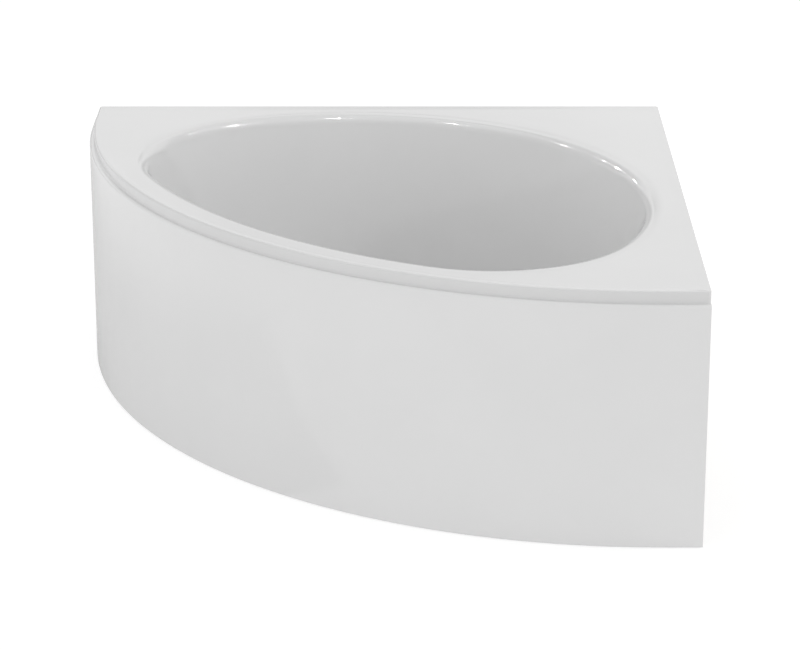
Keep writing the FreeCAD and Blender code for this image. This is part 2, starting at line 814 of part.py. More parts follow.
def wall_brackets():
    """Angles screwed to the two walls, with the rim standing on their legs."""
    first = f"-{total('bracket_thickness', 'bracket_bend', 'bracket_hole_edge')}"
    second = less(first, "wall_hole_pitch")
    holes = ("XZ_Plane", [("0", first), ("0", second)])
    number = 0
    for turn in (180, 90):
        for side in (-1, 1):
            number += 1
            label = f"wall_bracket_{number}"
            angle = angle_bracket(label, "wall_bracket_drop", "wall_bracket_reach", holes)
            aside = f"{side} * wall_bracket_spacing / 2"
            x, y = (aside, HALF_SIDE) if turn == 180 else (HALF_SIDE, aside)
            keep(put(angle, x, y, LIP_BOTTOM, FreeCAD.Rotation(UP, turn)))


front_panel()
panel_fixings()
wall_brackets()


# Rails and levelling feet

def foot_rails():
    """Two bent channels, open below, under the base board from front foot to back foot."""
    half = "rail_width / 2"
    thick = "rail_thickness"
    bend = total("rail_bend", thick)
    low = "-rail_height"
    corners = [
        (half, low),
        (half, f"-{bend}", bend, 1),
        (less(half, bend), "0"),
        (f"-{less(half, bend)}", "0", bend, 1),
        (f"-{half}", f"-{bend}"),
        (f"-{half}", low),
        (f"-{less(half, thick)}", low),
        (f"-{less(half, thick)}", f"-{bend}", "rail_bend", -1),
        (f"-{less(half, bend)}", f"-{thick}"),
        (less(half, bend), f"-{thick}", "rail_bend", -1),
        (less(half, thick), f"-{bend}"),
        (less(half, thick), low),
    ]
    span = less(BACK_FOOT, FRONT_FOOT)
    for number, side in enumerate((-1, 1), start=1):
        body = new_body(f"foot_rail_{number}")
        channel = outline(body, "channel", "YZ_Plane", "-rail_end", corners)
        pad(body, channel, total(span, "2 * rail_end"))
        hole = total("rod_radius", "rod_clearance")
        drill(body, circles(body, "rod_holes", "XY_Plane", "0", hole, [("0", "0"), (span, "0")]))
        keep(put_diagonal(body, FRONT_FOOT, f"{side} * rail_spacing / 2", BOARD_UNDER))


def hex_nut(label, height):
    size = {"Circumradius": "nut_across_corners / 2", "Height": height}
    blank = make("Part::Prism", f"{label}_hex", size)
    blank.Polygon = NUT_SIDES
    bore = cylinder(f"{label}_bore", total("rod_radius", "rod_clearance"), height)
    return cut(label, blank, bore)


def centre_plate():
    plate = block("centre_plate_blank", "centre_plate", "centre_plate", "centre_plate_thickness")
    under = less(BOARD_UNDER, "centre_plate_thickness")
    put_diagonal(plate, less(CENTRE_FOOT, "centre_plate / 2"), "-centre_plate / 2", under)
    hole = cylinder("centre_plate_hole", total("rod_radius", "rod_clearance"), "2 * centre_plate_thickness")
    put_diagonal(hole, CENTRE_FOOT, "0", less(under, "centre_plate_thickness / 2"))
    keep(cut("centre_foot_plate", plate, hole))


def nuts():
    """Welded nuts that carry the rods, and the lock nuts run up against them."""
    welded = []
    locking = []
    for number, (along, across) in enumerate(foot_places(), start=1):
        centre = number == len(foot_places())
        seat = "centre_plate_thickness" if centre else "rail_thickness"
        height = "centre_bush_height" if centre else "weld_nut_height"
        weld_up = less(BOARD_UNDER, seat, height)
        lock_up = less(weld_up, "lock_nut_height") if centre else BOARD_UNDER
        weld_nut = hex_nut(f"weld_nut_{number}", height)
        welded.append(put_diagonal(weld_nut, along, across, weld_up))
        lock_nut = hex_nut(f"lock_nut_{number}", "lock_nut_height")
        locking.append(put_diagonal(lock_nut, along, across, lock_up))
    keep(group("weld_nuts", welded))
    keep(group("lock_nuts", locking))


def levelling_feet():
    """Swivel pads on the floor and the threaded rods that turn in them."""
    socket = total("rod_radius", "rod_clearance")
    pad_corners = [
        ("0", "0"),
        ("pad_radius", "0"),
        ("pad_radius", "pad_rim"),
        ("pad_neck_radius", less("pad_height", "pad_rim")),
        ("pad_neck_radius", "pad_height"),
        (socket, "pad_height"),
        (socket, "pad_floor"),
        ("0", "pad_floor"),
    ]
    foot_of_rod = total("pad_floor", "rod_clearance")
    for number, (along, across) in enumerate(foot_places(), start=1):
        centre = number == len(foot_places())
        top = less(BOARD_UNDER, "centre_rod_drop") if centre else total(BOARD_UNDER, "rod_above_rail")
        keep(put_diagonal(turned(f"foot_pad_{number}", pad_corners), along, across, "0"))
        rod = cylinder(f"foot_rod_{number}", "rod_radius", less(top, foot_of_rod))
        keep(put_diagonal(rod, along, across, foot_of_rod))


foot_rails()
centre_plate()
nuts()
levelling_feet()


# Waste

def stub_root(radius, wall):
    """Distance from a round cup's axis at which a side stub for the overflow pipe starts inside its wall."""
    return f"(sqrt({radius} * {radius} - overflow_pipe_radius * overflow_pipe_radius) - {STUB_BITE} * {wall})"


def waste_flange():
    """Flange seated in the floor, with a tail through the shell and a spider that guides the plug's stem."""
    top = total("upper_seal_thickness", "flange_thickness")
    seat = "upper_seal_thickness"
    bore = less("tail_radius", "tail_wall")
    low = f"-{total('floor_wall', 'tail_below')}"
    cone_foot = less(top, f"2 * {less('throat_radius', bore)}")
    funnel = turned("waste_funnel", [
        (bore, low),
        ("tail_radius", low),
        ("tail_radius", seat),
        ("flange_radius", seat),
        ("flange_radius", top),
        ("throat_radius", top),
        (bore, cone_foot),
    ])
    put_diagonal(funnel, WASTE_ALONG, "0", SEAT_UP)
    spider_up = total(SEAT_UP, low)
    stem_hole = total("stem_radius", "stem_clearance")
    hub = ring("spider_hub", stem_hole, "spider_bush_radius", "0", "spider_height")
    pieces = [funnel, put_diagonal(hub, WASTE_ALONG, "0", spider_up)]
    start = "(spider_bush_radius - spider_rib / 2)"
    for rib in range(SPIDER_RIBS):
        angle = 360 / SPIDER_RIBS * rib
        length = less(total(bore, "tail_wall / 2"), start)
        bar = block(f"spider_rib_{rib + 1}", length, "spider_rib", "spider_height")
        along = f"{WASTE_ALONG} + {start} * cos({angle}) + spider_rib / 2 * sin({angle})"
        across = f"{start} * sin({angle}) - spider_rib / 2 * cos({angle})"
        pieces.append(put_diagonal(bar, along, across, spider_up, FreeCAD.Rotation(UP, angle)))
    keep(fuse("waste_flange", pieces))


def waste_seals():
    inner = "waste_hole_radius"
    upper = ring("waste_seal_upper", inner, less("flange_radius", "recess_clearance"),
                 "0", "upper_seal_thickness")
    keep(put_diagonal(upper, WASTE_ALONG, "0", SEAT_UP))
    lower = ring("waste_seal_lower", inner, less("waste_body_radius", "recess_clearance"),
                 "-lower_seal_thickness", "0")
    keep(put_diagonal(lower, WASTE_ALONG, "0", FLOOR_UNDER))


def waste_body():
    """Cup under the floor with a spigot to the trap and a side inlet from the overflow pipe."""
    top = "-lower_seal_thickness"
    bore = total("tail_radius", "thread_clearance")
    skin_radius = total(bore, "waste_body_wall")
    under_flange = less(top, "waste_body_flange")
    cup_foot = less(top, "chamber_depth")
    spigot_top = less(cup_foot, "chamber_cone")
    spigot_foot = f"-{SPIGOT_DROP}"
    spigot_bore = less("trap_pipe_radius", "pipe_wall")
    cup = turned("waste_cup", [
        (bore, top),
        (bore, cup_foot),
        (spigot_bore, spigot_top),
        (spigot_bore, spigot_foot),
        ("trap_pipe_radius", spigot_foot),
        ("trap_pipe_radius", less(spigot_top, "pipe_wall")),
        (skin_radius, less(cup_foot, "pipe_wall")),
        (skin_radius, under_flange),
        ("waste_body_radius", under_flange),
        ("waste_body_radius", top),
    ])
    put_diagonal(cup, WASTE_ALONG, "0", FLOOR_UNDER)
    forward = FreeCAD.Rotation(Vector(0, 1, 0), -90)
    start = stub_root(skin_radius, "waste_body_wall")
    reach = total("tail_radius", "thread_clearance", "waste_stub")
    stub = cylinder("waste_inlet", "overflow_pipe_radius", less(reach, start))
    put_diagonal(stub, less(WASTE_ALONG, start), "0", PIPE_STUB_UP, forward)
    way = cylinder("waste_inlet_bore", less("overflow_pipe_radius", "pipe_wall"), f"2 * {reach}")
    put_diagonal(way, WASTE_ALONG, "0", PIPE_STUB_UP, forward)
    room = ring("waste_room", less(bore, "waste_body_wall"), bore, cup_foot, under_flange)
    put_diagonal(room, WASTE_ALONG, "0", FLOOR_UNDER)
    keep(cut("waste_body", fuse("waste_casting", [cup, stub]), fuse("waste_clear", [way, room])))


def waste_plug():
    """Push plug: a crowned cap over the flange, with a boss and a stem down through the spider."""
    top = total("upper_seal_thickness", "flange_thickness", "seat_gap")
    edge_top = total(top, "plug_edge")
    crown_radius = "((plug_radius * plug_radius + plug_crown * plug_crown) / (2 * plug_crown))"
    boss_foot = less(top, "plug_boss_drop")
    stem_foot = f"-{total('floor_wall', 'stem_below')}"
    cap = turned("waste_plug", [
        ("0", stem_foot),
        ("stem_radius", stem_foot),
        ("stem_radius", boss_foot),
        ("plug_boss_radius", boss_foot),
        ("plug_boss_radius", top),
        ("plug_radius", top),
        ("plug_radius", edge_top, crown_radius, 1),
        ("0", total(edge_top, "plug_crown")),
    ])
    keep(put_diagonal(cap, WASTE_ALONG, "0", SEAT_UP))
    seal = ring("plug_seal", total("plug_boss_radius", "thread_clearance"), "plug_seal_radius",
                less(top, "plug_seal_thickness"), top)
    keep(put_diagonal(seal, WASTE_ALONG, "0", SEAT_UP))


waste_flange()
waste_seals()
waste_body()
waste_plug()


# Overflow

def overflow_cover():
    """Hollow crowned cover on the front wall, with a ring of drain holes round its screw."""
    ball = "((cover_radius * cover_radius + cover_crown * cover_crown) / (2 * cover_crown))"
    inner_ball = less(ball, "cover_wall")
    hollow = less("cover_radius", "cover_wall")
    hole = total("screw_radius", "screw_clearance")
    post = "overflow_post_radius"

    def dome(size, radius):
        return f"(cover_edge + cover_crown - {ball} + sqrt({size} * {size} - {radius} * {radius}))"

    body = turned("overflow_cover", [
        (hole, "0"),
        (post, "0"),
        (post, dome(inner_ball, post), inner_ball, -1),
        (hollow, dome(inner_ball, hollow)),
        (hollow, "0"),
        ("cover_radius", "0"),
        ("cover_radius", "cover_edge", ball, 1),
        (hole, dome(ball, hole)),
    ])
    first = circles(body, "drain", "XY_Plane", "0", "cover_slot_radius", [("cover_slot_circle", "0")])
    through = drill(body, first)
    doc.recompute()
    pattern = body.newObject("PartDesign::PolarPattern", "drain_ring")
    pattern.Originals = [through]
    pattern.Axis = (first, ["N_Axis"])
    pattern.Angle = 360.0
    pattern.Occurrences = COVER_SLOTS
    body.Tip = pattern
    keep(put_overflow(body))
    head = total("cover_edge", "cover_crown", "seat_gap")
    reach = less(OVERFLOW_BACK, "overflow_cup_depth / 2")
    screw = turned("overflow_screw", [
        ("0", reach),
        ("screw_radius", reach),
        ("screw_radius", head),
        ("screw_head_radius", head),
        ("screw_head_radius", total(head, "screw_head_height")),
        ("0", total(head, "screw_head_height")),
    ])
    keep(put_overflow(screw))


def overflow_body():
    """Seal and cup behind the wall, with a post for the screw and a stub for the pipe."""
    seal = ring("overflow_seal", "overflow_hole_radius", less("overflow_body_radius", "recess_clearance"),
                less(OVERFLOW_BACK, "lower_seal_thickness"), OVERFLOW_BACK)
    keep(put_overflow(seal))
    face = less(OVERFLOW_BACK, "lower_seal_thickness")
    bore = less("overflow_cup_radius", "overflow_cup_wall")
    end = less(face, "overflow_cup_depth")
    floor = total(end, "overflow_cup_wall")
    hole = total("screw_radius", "screw_clearance")
    cup = turned("overflow_cup", [
        (hole, total(end, "overflow_cup_wall / 2")),
        ("0", total(end, "overflow_cup_wall / 2")),
        ("0", end),
        ("overflow_cup_radius", end),
        ("overflow_cup_radius", less(face, "overflow_body_flange")),
        ("overflow_body_radius", less(face, "overflow_body_flange")),
        ("overflow_body_radius", face),
        (bore, face),
        (bore, floor),
        ("overflow_post_radius", floor),
        ("overflow_post_radius", "0"),
        (hole, "0"),
    ])
    return put_overflow(cup)


overflow_cover()
overflow_cup = overflow_body()
stub_back = value("overflow_cup_depth") - value("overflow_pipe_radius") - value("overflow_cup_wall")
cup_face = value(OVERFLOW_BACK) - value("lower_seal_thickness")
stub_start = overflow_seat + overflow_axis * (cup_face - stub_back)
stub_end = stub_start - overflow_up * value(STUB_REACH)
stub_turn = FreeCAD.Rotation(UP, -overflow_up)


def overflow_outlet():
    """Stub from the cup down along the wall, bored through into the cup."""
    root = stub_root("overflow_cup_radius", "overflow_cup_wall")
    stub = cylinder("overflow_stub_outside", "overflow_pipe_radius", less(STUB_REACH, root))
    stub.Placement = FreeCAD.Placement(stub_start - overflow_up * value(root), stub_turn)
    way = cylinder("overflow_stub_bore", less("overflow_pipe_radius", "pipe_wall"), STUB_REACH)
    way.Placement = FreeCAD.Placement(stub_start - overflow_up * value("overflow_post_radius"), stub_turn)
    bore = less("overflow_cup_radius", "overflow_cup_wall")
    face = less(OVERFLOW_BACK, "lower_seal_thickness")
    room = ring("overflow_room", less(bore, "overflow_cup_wall"), bore,
                less(face, "overflow_cup_depth - overflow_cup_wall"), less(face, "overflow_body_flange"))
    put_overflow(room)
    clear = fuse("overflow_clear", [way, room])
    keep(cut("overflow_body", fuse("overflow_casting", [overflow_cup, stub]), clear))


overflow_outlet()


# Pipes and unions

def bent_pipe(label, edges, radius):
    """Tube of the pipe wall along a path of lines and arcs."""
    path = feature(f"{label}_path", Part.Wire(edges))
    start = edges[0].valueAt(edges[0].FirstParameter)
    heading = edges[0].tangentAt(edges[0].FirstParameter)
    tubes = []
    for name, size in (("outside", radius), ("bore", less(radius, "pipe_wall"))):
        circle = make("Part::Circle", f"{label}_{name}_circle", {"Radius": size})
        circle.Placement = FreeCAD.Placement(start, FreeCAD.Rotation(UP, heading))
        tube = doc.addObject("Part::Sweep", f"{label}_{name}")
        tube.Sections = [circle]
        tube.Spine = (path, [f"Edge{n}" for n in range(1, len(edges) + 1)])
        tube.Solid = True
        tubes.append(tube)
    return keep(cut(label, *tubes))


def union_nut(label, radius, middle, heading):
    """Ring nut over the joint of two pipes, centred on the joint."""
    bore_radius = total(radius, "union_clearance")
    size = {"Circumradius": total(bore_radius, "union_wall"), "Height": "union_height"}
    blank = make("Part::Prism", f"{label}_blank", size)
    blank.Polygon = UNION_SIDES
    bore = cylinder(f"{label}_bore", bore_radius, "union_height")
    nut = cut(label, blank, bore)
    start = middle - heading * (value("union_height") / 2)
    nut.Placement = FreeCAD.Placement(start, FreeCAD.Rotation(UP, heading))
    return keep(nut)


def at_diagonal(along, across, up):
    point = Vector(value(along), value(across), value(up))
    return FreeCAD.Rotation(UP, DIAGONAL).multVec(point)


along_way = at_diagonal("1", "0", "0")
across_way = at_diagonal("0", "1", "0")


def overflow_pipe():
    """Rigid pipe down the front wall, with one bend into the waste's inlet."""
    inlet_along = less(WASTE_ALONG, "tail_radius", "thread_clearance", "waste_stub")
    inlet = at_diagonal(inlet_along, "0", PIPE_STUB_UP)
    down = -overflow_up
    fall = (stub_end.z - inlet.z) / -down.z
    corner = stub_end + down * fall
    turn = down.getAngle(along_way)
    radius = value("overflow_bend")
    tangent = radius * math.tan(turn / 2)
    start = corner - down * tangent
    end = corner + along_way * tangent
    centre = end + UP * radius
    middle = centre + (corner - centre).normalize() * radius
    edges = [
        Part.makeLine(stub_end, start),
        Part.Arc(start, middle, end).toShape(),
        Part.makeLine(end, inlet),
    ]
    bent_pipe("overflow_pipe", edges, "overflow_pipe_radius")
    union_nut("overflow_nut_upper", "overflow_pipe_radius", stub_end, down)
    union_nut("overflow_nut_lower", "overflow_pipe_radius", inlet, along_way)


def outlet_pipe(start):
    """Straight pipe from the trap, ending in a spigot behind a stop ring."""
    bore = less("trap_pipe_radius", "pipe_wall")
    ring_radius = total("trap_pipe_radius", "stop_ring_height")
    ring_end = less("outlet_length", "outlet_spigot")
    ring_start = less(ring_end, "stop_ring_width")
    pipe = turned("outlet_pipe", [
        (bore, "0"),
        ("trap_pipe_radius", "0"),
        ("trap_pipe_radius", ring_start),
        (ring_radius, ring_start),
        (ring_radius, ring_end),
        ("trap_pipe_radius", ring_end),
        ("trap_pipe_radius", "outlet_length"),
        (bore, "outlet_length"),
    ])
    pipe.Placement = FreeCAD.Placement(start, FreeCAD.Rotation(UP, along_way))
    keep(pipe)


def trap():
    """Shallow trap: down, round under, up through an elbow and out towards the room's corner."""
    top = at_diagonal(WASTE_ALONG, "0", SPIGOT_UP)
    bend = value("trap_bend")
    elbow = value("trap_elbow")
    dip = top - UP * value(HALF_UNION)
    low = dip + across_way * bend - UP * bend
    rise = dip + across_way * (2 * bend)
    outlet = rise + along_way * elbow + UP * elbow
    knee = rise + along_way * elbow + (UP - along_way).normalize() * elbow
    spigot = outlet + along_way * value("trap_spigot")
    edges = [
        Part.makeLine(top, dip),
        Part.Arc(dip, low, rise).toShape(),
        Part.Arc(rise, knee, outlet).toShape(),
        Part.makeLine(outlet, spigot),
    ]
    bent_pipe("trap_body", edges, "trap_pipe_radius")
    union_nut("trap_nut", "trap_pipe_radius", top, UP)
    outlet_pipe(spigot)
    union_nut("outlet_nut", "trap_pipe_radius", spigot, along_way)


overflow_pipe()
trap()


# Check every object, then write one file for each sub-part

doc.recompute()
failed = [item.Label for item in doc.Objects if {"Invalid", "Error"} & set(item.State)]
if failed:
    raise RuntimeError(f"objects failed to rebuild: {failed}")
for item in sub_parts:
    if item.Shape.isNull() or not item.Shape.isValid() or not item.Shape.Solids:
        raise RuntimeError(f"{item.Label} has no valid solid")
os.makedirs("parts", exist_ok=True)
for item in sub_parts:
    item.Shape.exportStep(os.path.join("parts", f"{item.Label}.step"))
    print(f"{item.Label}: {len(item.Shape.Solids)} solid(s), {item.Shape.Volume:.0f} mm3")
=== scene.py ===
import json
import math

import bmesh
import bpy
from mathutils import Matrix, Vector


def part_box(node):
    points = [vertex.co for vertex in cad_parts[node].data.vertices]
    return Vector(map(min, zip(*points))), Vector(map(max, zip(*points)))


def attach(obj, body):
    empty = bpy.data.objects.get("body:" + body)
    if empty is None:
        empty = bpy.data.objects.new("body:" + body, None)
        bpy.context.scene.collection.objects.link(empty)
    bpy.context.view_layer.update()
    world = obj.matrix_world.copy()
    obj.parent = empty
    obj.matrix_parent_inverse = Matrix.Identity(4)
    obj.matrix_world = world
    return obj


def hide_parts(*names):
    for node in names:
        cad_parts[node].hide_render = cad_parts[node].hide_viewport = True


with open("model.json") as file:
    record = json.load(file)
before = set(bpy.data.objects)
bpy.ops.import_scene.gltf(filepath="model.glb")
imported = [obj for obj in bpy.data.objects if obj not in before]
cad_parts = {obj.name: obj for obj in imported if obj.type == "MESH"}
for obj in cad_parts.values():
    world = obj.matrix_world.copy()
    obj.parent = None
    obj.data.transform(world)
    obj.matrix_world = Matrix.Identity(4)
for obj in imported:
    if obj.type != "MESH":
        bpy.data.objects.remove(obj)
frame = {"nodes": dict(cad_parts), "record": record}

# Looks of a quarter-round corner bath. Sizes of the bath are millimetres until a mesh is made, those of the
# studio are metres. Hidden pieces lie on the diagonal: "along" runs to the room's corner, "across" at right
# angles to it.

MM = 0.001
ROOT2 = math.sqrt(2)
TURN = 2 * math.pi
QUARTER = math.pi / 2
UP = Vector((0, 0, 1))
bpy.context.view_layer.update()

# Plan and rim
HALF = 705.5
ARC_CENTRE = 615.5
ARC_MIDDLE = Vector((ARC_CENTRE, ARC_CENTRE, 0))
FRONT_RADIUS = 1310.0
RIM = 576.0
LIP_BOTTOM = 549.55
LIP_TAPER = 2.0
SHELL = 6.0
RIM_EDGE = 6.0
WALL_EDGE = 1.5
CORNER = 7.0
LIP_COVE = 4.0
# The deck lies a little lower than the bead round its outside
BEAD = 1.2
BEAD_INSET = 20.0
DECK_INSET = 26.0
DECK = RIM - BEAD

# Basin ovals: front, back and the radii of front, back and ends
MOUTH = (-383.55, 619.85, 1254.0, 704.0, 352.0)
WELL = (-294.57, 490.88, 1000.0, 520.0, 230.0)
STEEPEST = math.radians(75)
ROLL = 30.0
ROLL_INSET = ROLL * math.sin(STEEPEST)
ROLL_DROP = ROLL * (1 - math.cos(STEEPEST))
FLOOR_CURVE = 75.0
FLOOR = 146.0
FLOOR_WALL = 8.0
FLOOR_FALL = math.radians(0.5)
# The edge over the basin, at the front and at the back: radius, tilt it starts from and reach of the soft
# shoulder. Between the two facings one turns into the other.
FRONT_EDGE = (27.0, 0.0, 4.0)
BACK_EDGE = (25.0, math.radians(6), 16.0)
FRONT_FACING = math.radians(150)
BACK_FACING = math.radians(95)
# A flat ring of the deck outside the shoulder
SHOULDER_MARGIN = 2.0

# Waste in the floor
WASTE_ALONG = -127.13
WASTE_HOLE = 26.0
WASTE_RECESS = 36.0
RECESS_DEPTH = 3.0

# Front panel
PANEL_STAND = 11.0
PANEL_WALL = 4.0
PANEL_TOP = 549.5
PANEL_FOOT = 1.5
TOP_FLANGE = 45.0
FOOT_FLANGE = 18.0
PANEL_EDGE = 7.0
PANEL_BEND = 3.0
SMALL_EDGE = 0.8

# Thread of the foot rods, its profile as shares of the pitch and of the depth
FEET = 5
THREAD_PITCH = 1.75
THREAD_DEPTH = 0.95
THREAD_PROFILE = ((0.06, 0.0), (0.44, 1.0), (0.56, 1.0), (0.94, 0.0))
THREAD_SIDES = 14

# Pan-head screws: radii and heights of the head, the cross recess, then where the screws are
HEAD_PROFILE = ((4.0, -0.2), (4.0, 0.7), (3.75, 1.4), (3.2, 2.0), (2.5, 2.4))
CROSS_ARMS = 4
CROSS_ARM = 1.9
CROSS_HALF_WIDTH = 0.5
CROSS_FLOOR = 0.9
CROSS_TAPER = 0.7
BRACKET_BEARINGS = (195, 225, 255)
BRACKET_FACE = 1291.86
BRACKET_SCREW_ASIDE = 11.0
BRACKET_SCREW_UP = 25.0
RAIL_ACROSS = 280.0
RAIL_WEB = 119.5
RAIL_SCREWS = (-130.0, 70.0, 270.0)
PLATE_ALONG = 61.66
PLATE_UNDER = 119.0
PLATE_SCREW = 30.0

# Mesh counts; those in pairs are for the basin's wall and for the curve at its floor
FRONT_STEPS = 96
END_STEPS = 60
BACK_STEPS = 60
ARC_STEPS = 220
FAN_STEPS = 5
SIDE_STEPS = 40
ROUND_STEPS = 6
SHOULDER_STEPS = 10
EDGE_STEPS = 9
NECK_STEPS = 3
BASIN_STEPS = (16, 14)
LAMINATE_STEPS = (9, 8)
LAMINATE_ROLL_STEPS = 6
WASTE_STEPS = 64
SOFT_PASSES = 3
# Edges that bend more than this stay sharp, and points nearer than this, in metres, are joined
SHARP_ANGLE = math.radians(30)
MERGE_DISTANCE = 1e-7

# Tones of the materials: place in a pattern and colour
RESIN_TONES = ((0.3, (0.60, 0.56, 0.45)), (0.55, (0.69, 0.66, 0.57)), (0.75, (0.74, 0.72, 0.65)))
STRAND_COLOUR = (0.80, 0.79, 0.74)
RING_TONES = ((0.0, (0.60, 0.42, 0.24)), (0.4, (0.74, 0.57, 0.37)), (1.0, (0.80, 0.66, 0.46)))
FIBRE_COLOUR = (0.52, 0.35, 0.19)
STREAK_COLOUR = (0.56, 0.37, 0.20)
CHIP_TONES = (
    (0.0, (0.42, 0.29, 0.16)),
    (0.35, (0.62, 0.47, 0.29)),
    (0.7, (0.70, 0.56, 0.37)),
    (1.0, (0.78, 0.66, 0.47)),
)
CHIP_SHADE = (0.50, 0.37, 0.22)
SPANGLE_TONES = ((0.0, (0.46, 0.48, 0.50)), (0.5, (0.58, 0.60, 0.62)), (1.0, (0.70, 0.72, 0.73)))
ZINC_STAIN = (0.62, 0.62, 0.60)
BLOOM_TONES = ((0.3, (0.62, 0.63, 0.66)), (0.5, (0.70, 0.69, 0.64)), (0.7, (0.72, 0.68, 0.54)))
CHROME_TONES = ((0.3, (0.78, 0.78, 0.79)), (0.7, (0.83, 0.83, 0.84)))
ACRYLIC_IOR = 1.53
RESIN_IOR = 1.52
# Chopped strands: turn of each layer and its scale along the strands, then the scales across them
STRAND_LAYERS = ((0.2, 60), (1.1, 75), (1.9, 66), (2.7, 82))
STRAND_FINE = (620, 140)
STRAND_SHOW = 0.55

# Studio: floor tones for light and for rays that show it, and the world's strength by height
STUDIO_SIZE = 40.0
STUDIO_DROP = 0.0004
STUDIO_LIT = 0.92
STUDIO_SEEN = 0.42
STUDIO_GLOW = 0.70
WORLD_STRENGTH = 1.71
WORLD_BY_HEIGHT = ((0.0, 0.585), (0.45, 0.595), (0.75, 0.44), (1.0, 0.31))
# Lamps: place, aim, width and height, power
LAMPS = {
    "fill": ((4.2, 0.4, 3.6), (0, 0, 0.4), (2.4, 2.4), 30),
    "left_fill": ((-4.5, -2.5, 1.6), (-0.4, -0.4, 0.4), (2.0, 2.0), 8),
    "overhead": ((0.0, 0.95, 4.5), (0, 0.951, 0.5), (5.5, 5.0), 50),
}
# Cards: place, width and height, mesh counts; places on a card are shares of its size
LOW_CARD = ((-1.2, 1.4, 0.003), (2.0, 4.0), (4, 8))
LOW_CARD_GREY = 0.74
LOW_CARD_ROUGH = 0.9
BACK_CARD = ((0, 12.0, 6.0), (30.0, 12.0), (10, 8))
PATCH_PLACE = (0.002, -0.137, 0)
PATCH_TURN = (0, 0, 0.222)
PATCH_SIZE = (0.049, 0.034, 1)

# Camera, its dip in degrees below level
CAMERA_PLACE = (0.0594, -6.5643, 2.6473)
CAMERA_DIP = 20.068
CAMERA_LENS = 135.198
CAMERA_SENSOR = 36
CAMERA_CLIP = 100

# Glints on the basin's far edge: direction round the oval in degrees and strength
GLINTS = (
    (91, 0.6), (75, 0.8), (70, 0.8), (48, 0.8), (23, 0.6),
    (-4, 0.6), (-17, 0.3), (-22, 0.8), (-31, 0.3),
)
GLINT_INSET = 22.0
GLINT_DROP = 8.0
GLINT_LEAN = math.radians(50)
GLINT_SPREAD = math.radians(4)
GLINT_BLEND = 0.6
GLINT_SIZE = 0.08
GLINT_POWER = 100
GLINT_DISTANCE = 5.0


# Node materials

SURFACE_INPUTS = {
    "colour": "Base Color", "rough": "Roughness", "metal": "Metallic", "normal": "Normal", "ior": "IOR",
    "specular": "Specular IOR Level", "alpha": "Alpha", "glow": "Emission Strength",
    "glow_colour": "Emission Color",
}


def grey(level):
    return (level, level, level)


class Nodes:
    """A node tree, with short calls to add and wire its nodes."""

    def __init__(self, tree):
        self.tree = tree

    def node(self, kind, inputs, **settings):
        item = self.tree.nodes.new(kind)
        for key, setting in settings.items():
            setattr(item, key, setting)
        for key, given in inputs.items():
            self.feed(item.inputs[key], given)
        return item

    def feed(self, socket, given):
        """Link a socket, or set it where a number, a vector or a colour is given."""
        if isinstance(given, bpy.types.NodeSocket):
            self.tree.links.new(given, socket)
        elif socket.type == "RGBA":
            socket.default_value = (*given, 1)
        else:
            socket.default_value = given

    def maths(self, operation, a, b):
        return self.node("ShaderNodeMath", {0: a, 1: b}, operation=operation).outputs[0]

    def by_ray(self, lit, seen):
        """One shader for light, one for camera, glossy and transmission rays, which show a background."""
        path = self.node("ShaderNodeLightPath", {}).outputs
        shown = self.maths("MAXIMUM", path["Is Camera Ray"], path["Is Glossy Ray"])
        shown = self.maths("MAXIMUM", shown, path["Is Transmission Ray"])
        return self.node("ShaderNodeMixShader", {0: shown, 1: lit, 2: seen}).outputs[0]


class Shader(Nodes):
    """A material, its patterns and its surface."""

    def __init__(self, name):
        self.material = bpy.data.materials.new(name)
        self.material.use_nodes = True
        super().__init__(self.material.node_tree)
        self.surface = self.tree.nodes["Principled BSDF"]
        self.place = self.node("ShaderNodeTexCoord", {}).outputs["Object"]

    def stretched(self, scale, turn=(0, 0, 0)):
        inputs = {"Vector": self.place, "Scale": scale, "Rotation": turn}
        return self.node("ShaderNodeMapping", inputs).outputs[0]

    def coordinates(self):
        return self.node("ShaderNodeSeparateXYZ", {"Vector": self.place}).outputs

    def noise(self, scale, detail, place=None):
        inputs = {"Vector": place or self.place, "Scale": scale, "Detail": detail}
        return self.node("ShaderNodeTexNoise", inputs).outputs["Fac"]

    def cells(self, scale, place=None):
        """Cells with a random level each."""
        inputs = {"Vector": place or self.place, "Scale": scale}
        colour = self.node("ShaderNodeTexVoronoi", inputs).outputs["Color"]
        return self.node("ShaderNodeSeparateColor", {"Color": colour}).outputs[0]

    def ramp(self, fac, stops):
        item = self.node("ShaderNodeValToRGB", {"Fac": fac})
        ends = item.color_ramp.elements
        while len(ends) < len(stops):
            ends.new(0.5)
        for end, (position, colour) in zip(ends, stops):
            end.position = position
            end.color = (*colour, 1)
        return item.outputs["Color"]

    def spread(self, fac, low, high):
        inputs = {"Value": fac, "To Min": low, "To Max": high}
        return self.node("ShaderNodeMapRange", inputs).outputs[0]

    def sharpen(self, fac, start, stop):
        inputs = {"Value": fac, "From Min": start, "From Max": stop}
        return self.node("ShaderNodeMapRange", inputs, interpolation_type="SMOOTHSTEP").outputs[0]

    def blend(self, fac, a, b, mode="MIX"):
        item = self.node("ShaderNodeMix", {}, data_type="RGBA", blend_type=mode)
        for name, kind, given in (("Factor", "VALUE", fac), ("A", "RGBA", a), ("B", "RGBA", b)):
            socket = next(s for s in item.inputs if s.name == name and s.type == kind)
            self.feed(socket, given)
        return next(s for s in item.outputs if s.type == "RGBA")

    def bump(self, height, strength, distance, before=None):
        inputs = {"Height": height, "Strength": strength, "Distance": distance}
        if before is not None:
            inputs["Normal"] = before
        return self.node("ShaderNodeBump", inputs).outputs[0]

    def finish(self, **inputs):
        for key, given in inputs.items():
            self.feed(self.surface.inputs[SURFACE_INPUTS[key]], given)
        return self.material


